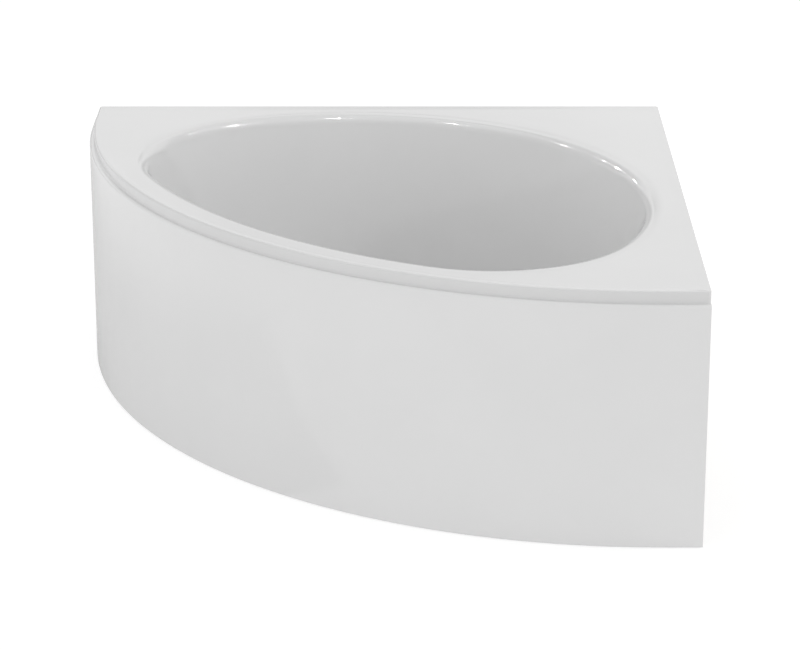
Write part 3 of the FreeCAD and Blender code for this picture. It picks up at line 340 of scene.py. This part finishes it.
def acrylic(name, light, dark):
    """Polished white acrylic: faint cloudiness in the sheet, a slight ripple and fine polishing haze."""
    made = Shader(name)
    cloud = made.noise(scale=3.5, detail=4)
    fleck = made.sharpen(made.noise(scale=420, detail=1), start=0.68, stop=0.8)
    tone = made.ramp(cloud, [(0.35, dark), (0.65, light)])
    colour = made.blend(fleck, tone, dark)
    haze = made.spread(made.noise(scale=55, detail=3), low=0.06, high=0.13)
    ripple = made.bump(made.noise(scale=26, detail=1), strength=0.05, distance=0.0006)
    peel = made.bump(made.noise(scale=240, detail=2), strength=0.035, distance=0.0003, before=ripple)
    return made.finish(colour=colour, rough=haze, normal=peel, ior=ACRYLIC_IOR)


def laminate():
    """Sprayed resin over chopped glass strands on the back of the shell."""
    made = Shader("glass_laminate")
    strands = 0.0
    for turn, stretch in STRAND_LAYERS:
        place = made.stretched(scale=(stretch, *STRAND_FINE), turn=(0.5 * turn, turn, turn))
        line = made.sharpen(made.noise(scale=1.0, detail=2, place=place), start=0.56, stop=0.68)
        strands = made.maths("MAXIMUM", strands, line)
    pooled = made.noise(scale=11, detail=5)
    resin = made.ramp(pooled, RESIN_TONES)
    colour = made.blend(made.maths("MULTIPLY", strands, STRAND_SHOW), resin, STRAND_COLOUR)
    gloss = made.spread(made.noise(scale=30, detail=4), low=0.28, high=0.6)
    lumps = made.bump(pooled, strength=0.5, distance=0.004)
    fibre = made.bump(strands, strength=0.5, distance=0.0008, before=lumps)
    return made.finish(colour=colour, rough=gloss, normal=fibre, ior=RESIN_IOR)


def timber():
    """Planed softwood: long rings, fine fibres and a few darker streaks."""
    made = Shader("softwood")
    along = made.stretched(scale=(0.9, 0.9, 9.0))
    warp = made.noise(scale=3.0, detail=3, place=along)
    wave = {"Vector": along, "Scale": 8.0, "Distortion": 7.0, "Detail": 3.0, "Detail Scale": 1.2}
    rings = made.node("ShaderNodeTexWave", wave, bands_direction="Z").outputs["Fac"]
    fibre = made.noise(scale=1.0, detail=3, place=made.stretched(scale=(25, 25, 900)))
    tone = made.ramp(rings, RING_TONES)
    colour = made.blend(made.spread(fibre, low=0.0, high=0.35), tone, FIBRE_COLOUR, "MULTIPLY")
    colour = made.blend(made.sharpen(warp, start=0.62, stop=0.8), colour, STREAK_COLOUR)
    rough = made.spread(fibre, low=0.5, high=0.72)
    relief = made.bump(fibre, strength=0.25, distance=0.0005)
    return made.finish(colour=colour, rough=rough, normal=relief)


def particle_board():
    """Pressed chips of mixed size and colour."""
    made = Shader("particle_board")
    chips = made.cells(scale=210, place=made.stretched(scale=(1, 1.7, 1.3), turn=(0.3, 0.2, 0.6)))
    fine = made.noise(scale=700, detail=2)
    tone = made.ramp(chips, CHIP_TONES)
    colour = made.blend(made.spread(fine, low=0.1, high=0.5), tone, CHIP_SHADE, "MULTIPLY")
    rough = made.spread(chips, low=0.62, high=0.82)
    relief = made.bump(chips, strength=0.4, distance=0.0006)
    return made.finish(colour=colour, rough=rough, normal=relief)


def galvanised():
    """Spangled zinc coat with dull flecks."""
    made = Shader("galvanised_sheet")
    spangle = made.cells(scale=95)
    stain = made.noise(scale=16, detail=5)
    tone = made.ramp(spangle, SPANGLE_TONES)
    colour = made.blend(made.sharpen(stain, start=0.55, stop=0.75), tone, ZINC_STAIN)
    rough = made.spread(made.maths("ADD", spangle, stain), low=0.18, high=0.42)
    relief = made.bump(spangle, strength=0.06, distance=0.0004)
    return made.finish(colour=colour, rough=rough, metal=1.0, normal=relief)


def zinc_plate():
    """Bright zinc plate with a faint yellow and blue bloom and turning marks."""
    made = Shader("zinc_plate")
    bloom = made.noise(scale=60, detail=3)
    marks = made.noise(scale=1.0, detail=2, place=made.stretched(scale=(60, 60, 1500)))
    colour = made.ramp(bloom, BLOOM_TONES)
    rough = made.spread(marks, low=0.2, high=0.4)
    relief = made.bump(marks, strength=0.12, distance=0.0002)
    return made.finish(colour=colour, rough=rough, metal=1.0, normal=relief)


def chrome():
    """Polished chrome with a trace of haze and fine wiping marks."""
    made = Shader("polished_chrome")
    haze = made.noise(scale=35, detail=4)
    wiped = made.stretched(scale=(900, 70, 300), turn=(0.4, 0.2, 0.9))
    wipe = made.noise(scale=1.0, detail=2, place=wiped)
    colour = made.ramp(haze, CHROME_TONES)
    rough = made.spread(made.maths("MULTIPLY", haze, wipe), low=0.04, high=0.12)
    relief = made.bump(wipe, strength=0.02, distance=0.0002)
    return made.finish(colour=colour, rough=rough, metal=1.0, normal=relief)


def moulded(name, light, dark, low, high, grain):
    """Moulded plastic or rubber: slight flow marks, and a fine grain between two levels of roughness."""
    made = Shader(name)
    flow = made.noise(scale=22, detail=4)
    skin = made.noise(scale=grain, detail=2)
    colour = made.ramp(flow, [(0.3, dark), (0.7, light)])
    rough = made.spread(skin, low, high)
    relief = made.bump(skin, strength=0.12, distance=0.0003)
    return made.finish(colour=colour, rough=rough, normal=relief)


# The shell is the same white acrylic as the panel, set about a tenth darker: painted shade for the lip and
# the basin, which take less light than the panel.
materials = {
    "acrylic": acrylic("polished_acrylic_painted_shade", light=grey(0.715), dark=grey(0.70)),
    "panel_acrylic": acrylic("polished_panel_acrylic", light=grey(0.785), dark=grey(0.77)),
    "board": particle_board(),
    "timber": timber(),
    "galvanised_steel": galvanised(),
    "zinc_steel": zinc_plate(),
    "foot_plastic": moulded("black_plastic", light=(0.045, 0.045, 0.048), dark=(0.03, 0.03, 0.032),
                            low=0.42, high=0.6, grain=500),
    "chrome": chrome(),
    "rubber": moulded("black_rubber", light=grey(0.035), dark=grey(0.02), low=0.6, high=0.85, grain=700),
    "pipe_plastic": moulded("pipe_plastic", light=(0.74, 0.74, 0.73), dark=(0.70, 0.70, 0.69),
                            low=0.28, high=0.42, grain=420),
    "nut_plastic": moulded("nut_plastic", light=(0.66, 0.66, 0.65), dark=(0.61, 0.61, 0.60),
                           low=0.35, high=0.55, grain=520),
}
back_coat = laminate()
for part in frame["record"]["subparts"]:
    skin = frame["nodes"][part["node"]].data.materials
    skin.clear()
    skin.append(materials[part["material_slot"]])


# Mesh helpers

class Builder:
    """Collects rings of points into one mesh."""

    def __init__(self):
        self.mesh = bmesh.new()

    def ring(self, points):
        return [self.mesh.verts.new(Vector(point) * MM) for point in points]

    def strip(self, first, second, material=0, closed=True):
        count = len(first)
        for index in range(count if closed else count - 1):
            after = (index + 1) % count
            face = self.mesh.faces.new((first[index], first[after], second[after], second[index]))
            face.material_index = material

    def strips(self, rings, material=0, closed=True):
        for first, second in zip(rings, rings[1:]):
            self.strip(first, second, material, closed)

    def between(self, outer, inner, material=0):
        """Triangles between two closed rings, taken in order of angle round the middle of the inner one."""
        middle = sum((vert.co for vert in inner), Vector()) / len(inner)
        around = [by_angle(ring, middle) for ring in (outer, inner)]
        at = [0, 0]
        while at[0] < len(outer) or at[1] < len(inner):
            ahead = []
            for side, place in zip(around, at):
                ahead.append(side[place + 1][0] if place + 1 < len(side) else math.inf)
            move = 0 if ahead[0] <= ahead[1] else 1
            corners = [around[0][at[0]][1], around[1][at[1]][1], around[move][at[move] + 1][1]]
            self.mesh.faces.new(corners).material_index = material
            at[move] += 1

    def piece(self, name, skins):
        bmesh.ops.recalc_face_normals(self.mesh, faces=self.mesh.faces)
        data = bpy.data.meshes.new(name)
        self.mesh.to_mesh(data)
        self.mesh.free()
        for skin in skins:
            data.materials.append(skin)
        data.shade_smooth()
        data.set_sharp_from_angle(angle=SHARP_ANGLE)
        item = bpy.data.objects.new(name, data)
        bpy.context.scene.collection.objects.link(item)
        return item


def by_angle(ring, middle):
    """A ring's angles and points in order round a middle; the first point comes again at the end."""
    turns = []
    for index, vert in enumerate(ring):
        turns.append((math.atan2(vert.co.y - middle.y, vert.co.x - middle.x), index))
    turns.sort()
    angle, index = turns[0]
    turns.append((angle + TURN, index))
    return [(angle, ring[index]) for angle, index in turns]


def diagonal_point(along, across, up):
    return Vector(((along - across) / ROOT2, (along + across) / ROOT2, up))


def polar_point(centre, size, angle, up):
    """Point round a centre on the diagonal; its height may be a function of the place along."""
    along = centre[0] + size * math.cos(angle)
    across = centre[1] + size * math.sin(angle)
    return diagonal_point(along, across, up(along) if callable(up) else up)


def level_turn(start, steps):
    """Level directions over a quarter turn, from a start in degrees."""
    directions = []
    for step in range(steps + 1):
        angle = math.radians(start + 90 * step / steps)
        directions.append(Vector((math.cos(angle), math.sin(angle), 0)))
    return directions


def round_leans():
    """Angles over a rounded edge, from upright at 0 to level at a quarter turn."""
    return [QUARTER * step / ROUND_STEPS for step in range(ROUND_STEPS + 1)]


# Outline of the bath

def front_weight(normal):
    """1 on the front outline, 0 on the two wall sides, between them round a corner."""
    if normal.y > 0:
        return max(0.0, -normal.x)
    if normal.x > 0:
        return max(0.0, -normal.y)
    return 1.0


def plan_points(corner=CORNER):
    """Outline as core points with outward normals; it is the core moved out by the corner's radius."""
    core = HALF - corner
    front_core = ARC_CENTRE - FRONT_RADIUS + corner
    sides = [core + (front_core - core) * step / SIDE_STEPS for step in range(1, SIDE_STEPS)]
    points = [(Vector((core, core, 0)), normal) for normal in level_turn(0, FAN_STEPS)]
    points += [(Vector((x, core, 0)), Vector((0, 1, 0))) for x in sides]
    points += [(Vector((front_core, core, 0)), normal) for normal in level_turn(90, FAN_STEPS)]
    for normal in level_turn(180, ARC_STEPS):
        points.append((ARC_MIDDLE + normal * (FRONT_RADIUS - corner), normal))
    points += [(Vector((core, front_core, 0)), normal) for normal in level_turn(270, FAN_STEPS)]
    points += [(Vector((core, y, 0)), Vector((1, 0, 0))) for y in reversed(sides)]
    return points


def plan_ring(inset, up, taper=0.0):
    """Outline drawn in by an inset, and further by a taper along the front."""
    ring = []
    for core, normal in plan_points():
        point = core + normal * (CORNER - inset - taper * front_weight(normal))
        ring.append(Vector((min(point.x, HALF), min(point.y, HALF), up)))
    return ring


def edge_ring(lean, further=0.0):
    """Ring on the rounded edge of the deck, from upright at 0 to level at a quarter turn, or further in."""
    ring = []
    for core, normal in plan_points():
        front = front_weight(normal)
        radius = WALL_EDGE + (RIM_EDGE - WALL_EDGE) * front
        down = radius * (1 - math.sin(lean))
        taper = LIP_TAPER * front * down / (RIM - LIP_BOTTOM)
        inset = radius * (1 - math.cos(lean)) + taper + further
        ring.append(core + normal * (CORNER - inset) + UP * (RIM - down))
    return ring


def deck_ring(inset, up):
    """Outline drawn in by a large inset, with small corners."""
    return [core + normal * SMALL_EDGE + UP * up for core, normal in plan_points(inset + SMALL_EDGE)]


# Basin

def drawn_in(shape, inset):
    """An oval drawn in by an inset."""
    front, *others = shape
    return [front + inset] + [size - inset for size in others]


def oval_arcs(shape):
    """Centre, radius, first and last angle and steps of the four arcs of an oval."""
    front, back, front_radius, back_radius, end_radius = shape
    front_centre = front + front_radius
    back_centre = back - back_radius
    to_front = front_radius - end_radius
    to_back = back_radius - end_radius
    gap = back_centre - front_centre
    along = (to_front ** 2 - to_back ** 2 - front_centre ** 2 + back_centre ** 2) / (2 * gap)
    across = math.sqrt(to_back ** 2 - (along - back_centre) ** 2)
    ahead = math.atan2(across, along - front_centre)
    behind = math.atan2(across, along - back_centre)
    return [
        ((front_centre, 0), front_radius, TURN - ahead, ahead, FRONT_STEPS),
        ((along, across), end_radius, ahead, behind, END_STEPS),
        ((back_centre, 0), back_radius, behind, -behind, BACK_STEPS),
        ((along, -across), end_radius, -behind, -ahead, END_STEPS),
    ]


def oval_spokes(shape):
    """Centre, radius and facing angle of each point round an oval."""
    for centre, radius, first, last, steps in oval_arcs(shape):
        for step in range(steps):
            yield centre, radius, first + (last - first) * step / steps


def oval_ring(shape, inset, up):
    """An oval drawn in by an inset, at a height."""
    return [polar_point(centre, radius - inset, angle, up) for centre, radius, angle in oval_spokes(shape)]


def waste_ring(radius, up):
    """A circle round the waste."""
    angles = [-TURN * step / WASTE_STEPS for step in range(WASTE_STEPS)]
    return [polar_point((WASTE_ALONG, 0), radius, angle, up) for angle in angles]


def sloping(base, slope):
    """Height of a surface that has a base height at the waste and a slope along the diagonal."""
    return lambda along: base + (along - WASTE_ALONG) * slope


def edge_profile(angle):
    """Insets and heights from the deck down to the basin's wall, for a direction that the oval faces."""
    facing = abs((angle + math.pi) % TURN - math.pi)
    share = min(1.0, max(0.0, (FRONT_FACING - facing) / (FRONT_FACING - BACK_FACING)))
    share = share * share * (3 - 2 * share)
    radius, tilt, reach = [a + (b - a) * share for a, b in zip(FRONT_EDGE, BACK_EDGE)]
    wall_drop = ROLL_DROP - BEAD
    fall = radius * (math.cos(tilt) - math.cos(STEEPEST))
    width = radius * (math.sin(STEEPEST) - math.sin(tilt))
    lean = 1 / math.tan(STEEPEST)
    half_slope = math.tan(tilt) / 2
    neck = (wall_drop - fall - half_slope * (ROLL_INSET + reach - width)) / (1 - lean * half_slope)
    start = ROLL_INSET - neck * lean - width
    drop = half_slope * (start + reach)
    points = [(-reach - SHOULDER_MARGIN, DECK)]
    for step in range(SHOULDER_STEPS + 1):
        along = step / SHOULDER_STEPS
        points.append((-reach + (start + reach) * along, DECK - drop * along * along))
    for step in range(1, EDGE_STEPS + 1):
        turn = tilt + (STEEPEST - tilt) * step / EDGE_STEPS
        inset = start + radius * (math.sin(turn) - math.sin(tilt))
        points.append((inset, DECK - drop - radius * (math.cos(tilt) - math.cos(turn))))
    for step in range(1, NECK_STEPS + 1):
        left = neck * (1 - step / NECK_STEPS)
        points.append((ROLL_INSET - left * lean, DECK - wall_drop + left))
    return points


def edge_rings():
    """Rings over the shoulder and the edge, all round the basin's mouth."""
    spokes = []
    for centre, radius, angle in oval_spokes(MOUTH):
        profile = edge_profile(angle)
        spokes.append([polar_point(centre, radius - inset, angle, up) for inset, up in profile])
    return [list(ring) for ring in zip(*spokes)]


def roll_rings(thickness, steps):
    """Rings of a plain round edge, moved back from the inside by a thickness."""
    rings = []
    radius = ROLL - thickness
    for step in range(steps + 1):
        lean = STEEPEST * step / steps
        rings.append(oval_ring(MOUTH, radius * math.sin(lean), RIM - ROLL + radius * math.cos(lean)))
    return rings


def soft(rings, first, last):
    """Even out the bends between the rings from first to last."""
    for _ in range(SOFT_PASSES):
        for index in range(first, last):
            above, here, below = rings[index - 1:index + 2]
            rings[index] = [(a + 2 * b + c) / 4 for a, b, c in zip(above, here, below)]
    return rings


def basin_rings(rings, thickness, floor_thickness, fall, steps):
    """Rings of the edge given, then of the wall and floor, moved back from the inside by a thickness."""
    wall_steps, floor_steps = steps
    edge_end = len(rings) - 1
    wall_top = drawn_in(MOUTH, ROLL_INSET)
    top = RIM - ROLL_DROP
    foot = FLOOR + FLOOR_CURVE * (1 - math.cos(STEEPEST))
    out = -thickness * math.sin(STEEPEST)
    drop = thickness * math.cos(STEEPEST)
    for step in range(1, wall_steps):
        share = step / wall_steps
        between = [a + (b - a) * share for a, b in zip(wall_top, WELL)]
        rings.append(oval_ring(between, out, top + (foot - top) * share - drop))
    for step in range(floor_steps, -1, -1):
        lean = STEEPEST * step / floor_steps
        inset = FLOOR_CURVE * (math.sin(STEEPEST) - math.sin(lean)) - thickness * math.sin(lean)
        base = FLOOR + FLOOR_CURVE * (1 - math.cos(lean)) - floor_thickness * math.cos(lean)
        rings.append(oval_ring(WELL, inset, sloping(base, math.tan(fall * math.cos(lean)))))
    return soft(rings, edge_end, len(rings) - floor_steps + 1)


# Pieces

def bath_shell():
    """Moulded shell in one skin: lip, deck, shoulder, edge, basin and floor, with a laminate back."""
    made = Builder()
    lip = [plan_ring(SHELL, LIP_BOTTOM, CORNER - SHELL - SMALL_EDGE / 2)]
    for lean in round_leans():
        out = LIP_COVE * (1 - math.sin(lean))
        lip.append(plan_ring(0, LIP_BOTTOM + LIP_COVE * (1 - math.cos(lean)), LIP_TAPER - out))
    lip += [edge_ring(lean) for lean in round_leans()]
    lip += [edge_ring(QUARTER, SMALL_EDGE), deck_ring(BEAD_INSET, DECK), deck_ring(DECK_INSET, DECK)]
    outer = [made.ring(points) for points in lip]
    made.strips(outer)

    rings = basin_rings(edge_rings(), 0, 0, FLOOR_FALL, BASIN_STEPS)
    basin = [made.ring(points) for points in rings]
    made.between(outer[-1], basin[0])
    made.strips(basin)

    slope = math.tan(FLOOR_FALL)
    recess = [made.ring(points) for points in (
        waste_ring(WASTE_RECESS + SMALL_EDGE, sloping(FLOOR, slope)),
        waste_ring(WASTE_RECESS, sloping(FLOOR - SMALL_EDGE / 2, slope)),
        waste_ring(WASTE_RECESS, FLOOR - RECESS_DEPTH),
        waste_ring(WASTE_HOLE, FLOOR - RECESS_DEPTH),
        waste_ring(WASTE_HOLE, FLOOR - FLOOR_WALL),
    )]
    made.between(basin[-1], recess[0])
    made.strips(recess)

    backs = basin_rings(roll_rings(SHELL, LAMINATE_ROLL_STEPS), SHELL, FLOOR_WALL, 0.0, LAMINATE_STEPS)
    under = [made.ring(points) for points in backs]
    edge = made.ring(plan_ring(SHELL, RIM - SHELL))
    made.strip(outer[0], edge, 1)
    made.between(edge, under[0], 1)
    made.strips(under, 1)
    made.between(under[-1], recess[-1], 1)
    item = made.piece("bath_shell_skin", [materials["acrylic"], back_coat])
    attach(item, "bath")
    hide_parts("bath_shell")


def front_panel():
    """Curved panel swept from a profile with rounded edges and two flanges."""
    profile = [(SMALL_EDGE, PANEL_FOOT), (0, PANEL_FOOT + SMALL_EDGE), (0, PANEL_TOP / 2)]
    for lean in round_leans():
        inset = PANEL_EDGE * (1 - math.cos(lean))
        profile.append((inset, PANEL_TOP - PANEL_EDGE * (1 - math.sin(lean))))
    profile += [
        (TOP_FLANGE - SMALL_EDGE, PANEL_TOP),
        (TOP_FLANGE, PANEL_TOP - SMALL_EDGE),
        (TOP_FLANGE, PANEL_TOP - PANEL_WALL),
        (PANEL_WALL + PANEL_BEND, PANEL_TOP - PANEL_WALL),
        (PANEL_WALL, PANEL_TOP - PANEL_WALL - PANEL_BEND),
        (PANEL_WALL, PANEL_FOOT + PANEL_WALL + PANEL_BEND),
        (PANEL_WALL + PANEL_BEND, PANEL_FOOT + PANEL_WALL),
        (FOOT_FLANGE, PANEL_FOOT + PANEL_WALL),
        (FOOT_FLANGE, PANEL_FOOT),
    ]
    path = [(Vector((-HALF, HALF, 0)), Vector((-1, 0, 0)))]
    for normal in level_turn(180, ARC_STEPS):
        path.append((ARC_MIDDLE + normal * (FRONT_RADIUS + PANEL_STAND), normal))
    path.append((Vector((HALF, -HALF, 0)), Vector((0, -1, 0))))
    made = Builder()
    rings = []
    for point, normal in path:
        rings.append(made.ring([point - normal * inset + UP * up for inset, up in profile]))
    made.strips(rings)
    for ring in (rings[0], rings[-1]):
        made.mesh.faces.new(ring)
    item = made.piece("front_panel_skin", [materials["panel_acrylic"]])
    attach(item, "bath")
    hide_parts("front_panel")


def threaded_rod(number):
    """Rod with a right-hand thread and chamfered ends, in place of a plain one."""
    low, high = [Vector(corner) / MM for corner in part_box(f"foot_rod_{number}")]
    middle = (low + high) / 2
    minor = (high.x - low.x) / 2 - THREAD_DEPTH
    turns = math.ceil((high.z - low.z) / THREAD_PITCH) + 1
    made = Builder()
    columns = []
    for side in range(THREAD_SIDES + 1):
        angle = TURN * side / THREAD_SIDES
        column = []
        for turn in range(turns):
            for share, depth in THREAD_PROFILE:
                up = low.z + THREAD_PITCH * (turn + share + side / THREAD_SIDES - 1)
                up = min(max(up, low.z), high.z)
                radius = minor + min(depth * THREAD_DEPTH, up - low.z, high.z - up)
                x = middle.x + radius * math.cos(angle)
                y = middle.y + radius * math.sin(angle)
                column.append((x, y, up))
        columns.append(made.ring(column))
    made.strips(columns, closed=False)
    bmesh.ops.remove_doubles(made.mesh, verts=made.mesh.verts, dist=MERGE_DISTANCE)
    bmesh.ops.holes_fill(made.mesh, edges=[edge for edge in made.mesh.edges if edge.is_boundary])
    item = made.piece(f"foot_rod_thread_{number}", [materials["zinc_steel"]])
    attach(item, f"foot_screw_{number}")
    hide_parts(f"foot_rod_{number}")


def screw_head(made, place, out):
    """Pan head with a cross recess, standing on a face at a place."""
    first = out.orthogonal().normalized()
    second = out.cross(first)
    half_gap = math.pi / CROSS_ARMS
    arm_edge = math.atan2(CROSS_HALF_WIDTH, CROSS_ARM)
    middle = (arm_edge + half_gap) / 2
    around = []
    for arm in range(CROSS_ARMS):
        for turn in (-middle, -arm_edge, 0.0, arm_edge, middle, half_gap):
            reach = CROSS_ARM if abs(turn) <= arm_edge else CROSS_HALF_WIDTH / math.sin(abs(turn))
            around.append((arm * TURN / CROSS_ARMS + turn, reach))

    def circle(size, up):
        points = []
        for angle, reach in around:
            radius = size(reach) if callable(size) else size
            points.append(place + (first * math.cos(angle) + second * math.sin(angle)) * radius + out * up)
        return made.ring(points)

    rings = [circle(radius, up) for radius, up in HEAD_PROFILE]
    rings.append(circle(lambda reach: reach, HEAD_PROFILE[-1][1]))
    rings.append(circle(lambda reach: reach * CROSS_TAPER, CROSS_FLOOR))
    made.strips(rings)
    made.mesh.faces.new(rings[0])
    made.mesh.faces.new(rings[-1])


def screws(name, places, out):
    """Screws that share one direction, as one piece."""
    made = Builder()
    for place in places:
        screw_head(made, place, out)
    item = made.piece(name, [materials["zinc_steel"]])
    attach(item, "bath")


def bracket_screws():
    """Two screws through each angle bracket into the block on the panel's foot."""
    for number, bearing in enumerate(BRACKET_BEARINGS, start=1):
        angle = math.radians(bearing)
        outward = Vector((math.cos(angle), math.sin(angle), 0))
        aside = Vector((-outward.y, outward.x, 0)) * BRACKET_SCREW_ASIDE
        foot = ARC_MIDDLE + UP * BRACKET_SCREW_UP + outward * BRACKET_FACE
        screws(f"bracket_screws_{number}", (foot - aside, foot + aside), -outward)


def board_screws():
    """Screws up through the rails and the middle foot's plate into the base board."""
    for number, across in enumerate((-RAIL_ACROSS, RAIL_ACROSS), start=1):
        places = [diagonal_point(along, across, RAIL_WEB) for along in RAIL_SCREWS]
        screws(f"rail_screws_{number}", places, -UP)
    corners = [(a * PLATE_SCREW, b * PLATE_SCREW) for a in (-1, 1) for b in (-1, 1)]
    screws("plate_screws", [diagonal_point(PLATE_ALONG + a, b, PLATE_UNDER) for a, b in corners], -UP)


bath_shell()
front_panel()
for rod in range(1, FEET + 1):
    threaded_rod(rod)
bracket_screws()
board_screws()


# Floor, light and camera

def studio_floor():
    """Pale floor that keeps the object's shadow and shows nearly white."""
    bpy.ops.mesh.primitive_plane_add(size=STUDIO_SIZE, location=(0, 0, -STUDIO_DROP))
    floor = bpy.context.object
    floor.name = "studio_floor"
    material = bpy.data.materials.new("studio_floor")
    material.use_nodes = True
    made = Nodes(material.node_tree)
    made.tree.nodes.remove(made.tree.nodes["Principled BSDF"])
    lit = made.node("ShaderNodeBsdfDiffuse", {"Color": grey(STUDIO_LIT)}).outputs[0]
    shaded = made.node("ShaderNodeBsdfDiffuse", {"Color": grey(STUDIO_SEEN)}).outputs[0]
    glow = made.node("ShaderNodeEmission", {"Strength": STUDIO_GLOW}).outputs[0]
    seen = made.node("ShaderNodeAddShader", {0: shaded, 1: glow}).outputs[0]
    made.feed(made.tree.nodes["Material Output"].inputs["Surface"], made.by_ray(lit, seen))
    floor.data.materials.append(material)


def studio_world():
    """Soft light all round, its strength given by height; the background shows white."""
    world = bpy.data.worlds.new("studio_world")
    bpy.context.scene.world = world
    world.use_nodes = True
    made = Nodes(world.node_tree)
    way = made.node("ShaderNodeTexCoord", {}).outputs["Generated"]
    height = made.node("ShaderNodeSeparateXYZ", {"Vector": way}).outputs["Z"]
    by_height = made.node("ShaderNodeFloatCurve", {"Value": height})
    points = by_height.mapping.curves[0].points
    while len(points) < len(WORLD_BY_HEIGHT):
        points.new(0.5, 0.5)
    for point, place in zip(points, WORLD_BY_HEIGHT):
        point.location = place
    by_height.mapping.update()
    strength = made.maths("MULTIPLY", by_height.outputs[0], WORLD_STRENGTH)
    lit = made.tree.nodes["Background"]
    made.feed(lit.inputs["Color"], grey(1))
    made.feed(lit.inputs["Strength"], strength)
    white = made.node("ShaderNodeBackground", {"Color": grey(1), "Strength": 1.0})
    shown = made.by_ray(lit.outputs[0], white.outputs[0])
    made.feed(made.tree.nodes["World Output"].inputs["Surface"], shown)


def place_lamp(data, place, aim):
    """A lamp at a place, turned to an aim."""
    item = bpy.data.objects.new(data.name, data)
    bpy.context.scene.collection.objects.link(item)
    item.location = place
    item.rotation_euler = (Vector(aim) - Vector(place)).to_track_quat("-Z", "Y").to_euler()
    return item


def soft_lamp(name):
    """A large soft lamp of the table above."""
    place, aim, size, power = LAMPS[name]
    data = bpy.data.lights.new(name, "AREA")
    data.shape = "ELLIPSE"
    data.size, data.size_y = size
    data.energy = power
    return place_lamp(data, place, aim)


def glint(number, facing, share):
    """Small lamp, seen in gloss only, whose mirror image falls on the basin's edge at a facing."""
    angle = math.radians(facing)
    arcs = oval_arcs(MOUTH)[1:]
    centre, radius = next((mid, size) for mid, size, first, last, _ in arcs if last <= angle <= first)
    place = polar_point(centre, radius - GLINT_INSET, angle, RIM - GLINT_DROP) * MM
    inward = -diagonal_point(math.cos(angle), math.sin(angle), 0)
    normal = inward * math.cos(GLINT_LEAN) + UP * math.sin(GLINT_LEAN)
    view = (Vector(CAMERA_PLACE) - place).normalized()
    mirrored = 2 * normal.dot(view) * normal - view
    data = bpy.data.lights.new(f"glint_{number}", "SPOT")
    data.spot_size = GLINT_SPREAD
    data.spot_blend = GLINT_BLEND
    data.shadow_soft_size = GLINT_SIZE
    data.energy = GLINT_POWER * share
    item = place_lamp(data, place + mirrored * GLINT_DISTANCE, place)
    item.visible_diffuse = False


def gloss_card(name, place, size, counts, turn=(0, 0, 0)):
    """Card that is seen only in reflections; returns the material to finish."""
    columns, rows = counts
    bpy.ops.mesh.primitive_grid_add(x_subdivisions=columns, y_subdivisions=rows, size=1,
                                    location=place, rotation=turn)
    card = bpy.context.object
    card.name = name
    card.scale = (*size, 1)
    card.visible_camera = False
    card.visible_diffuse = False
    card.visible_shadow = False
    made = Shader(name)
    card.data.materials.append(made.material)
    return made


def reflected_card():
    """Grey card lying behind the left side, mirrored by the panel, so that the panel's edge stands out."""
    made = gloss_card("reflected_card", *LOW_CARD)
    fade = made.sharpen(made.coordinates()["X"], start=-0.45, stop=0.1)
    made.finish(colour=grey(LOW_CARD_GREY), rough=LOW_CARD_ROUGH, alpha=fade)


def back_card():
    """Upright card behind the bath, dim near the floor, bright above and less so at the top left.

    A dim oval on it shows only in the sloping edge at the right end of the basin.
    """
    made = gloss_card("back_card", *BACK_CARD, turn=(QUARTER, 0, 0))
    place = made.coordinates()
    height, across = place["Y"], place["X"]
    rise = made.spread(made.sharpen(height, start=-0.30, stop=-0.20), low=0.5, high=1.26)
    left = made.spread(made.sharpen(across, start=-0.02, stop=0.004), low=0.45, high=-0.3)
    fall = made.maths("MULTIPLY", made.sharpen(height, start=-0.06, stop=0.08), left)
    inputs = {"Vector": made.place, "Location": PATCH_PLACE, "Rotation": PATCH_TURN, "Scale": PATCH_SIZE}
    oval = made.node("ShaderNodeMapping", inputs, vector_type="TEXTURE").outputs[0]
    away = made.node("ShaderNodeVectorMath", {0: oval}, operation="LENGTH").outputs["Value"]
    patch = made.spread(made.sharpen(away, start=0.6, stop=1.1), low=0.5, high=0.0)
    glow = made.maths("SUBTRACT", made.maths("SUBTRACT", rise, fall), patch)
    made.finish(colour=grey(0), specular=0.0, glow_colour=grey(1), glow=glow)


def studio_camera():
    data = bpy.data.cameras.new("camera")
    camera = bpy.data.objects.new("camera", data)
    bpy.context.scene.collection.objects.link(camera)
    data.sensor_width = CAMERA_SENSOR
    data.lens = CAMERA_LENS
    data.clip_end = CAMERA_CLIP
    camera.location = CAMERA_PLACE
    camera.rotation_euler = (math.radians(90 - CAMERA_DIP), 0, 0)
    bpy.context.scene.camera = camera


studio_floor()
reflected_card()
back_card()
studio_world()
for name in ("fill", "left_fill"):
    soft_lamp(name).visible_glossy = False
soft_lamp("overhead").visible_diffuse = False
studio_camera()
for number, (facing, share) in enumerate(GLINTS, start=1):
    glint(number, facing, share)
bpy.context.scene.view_settings.view_transform = "Standard"
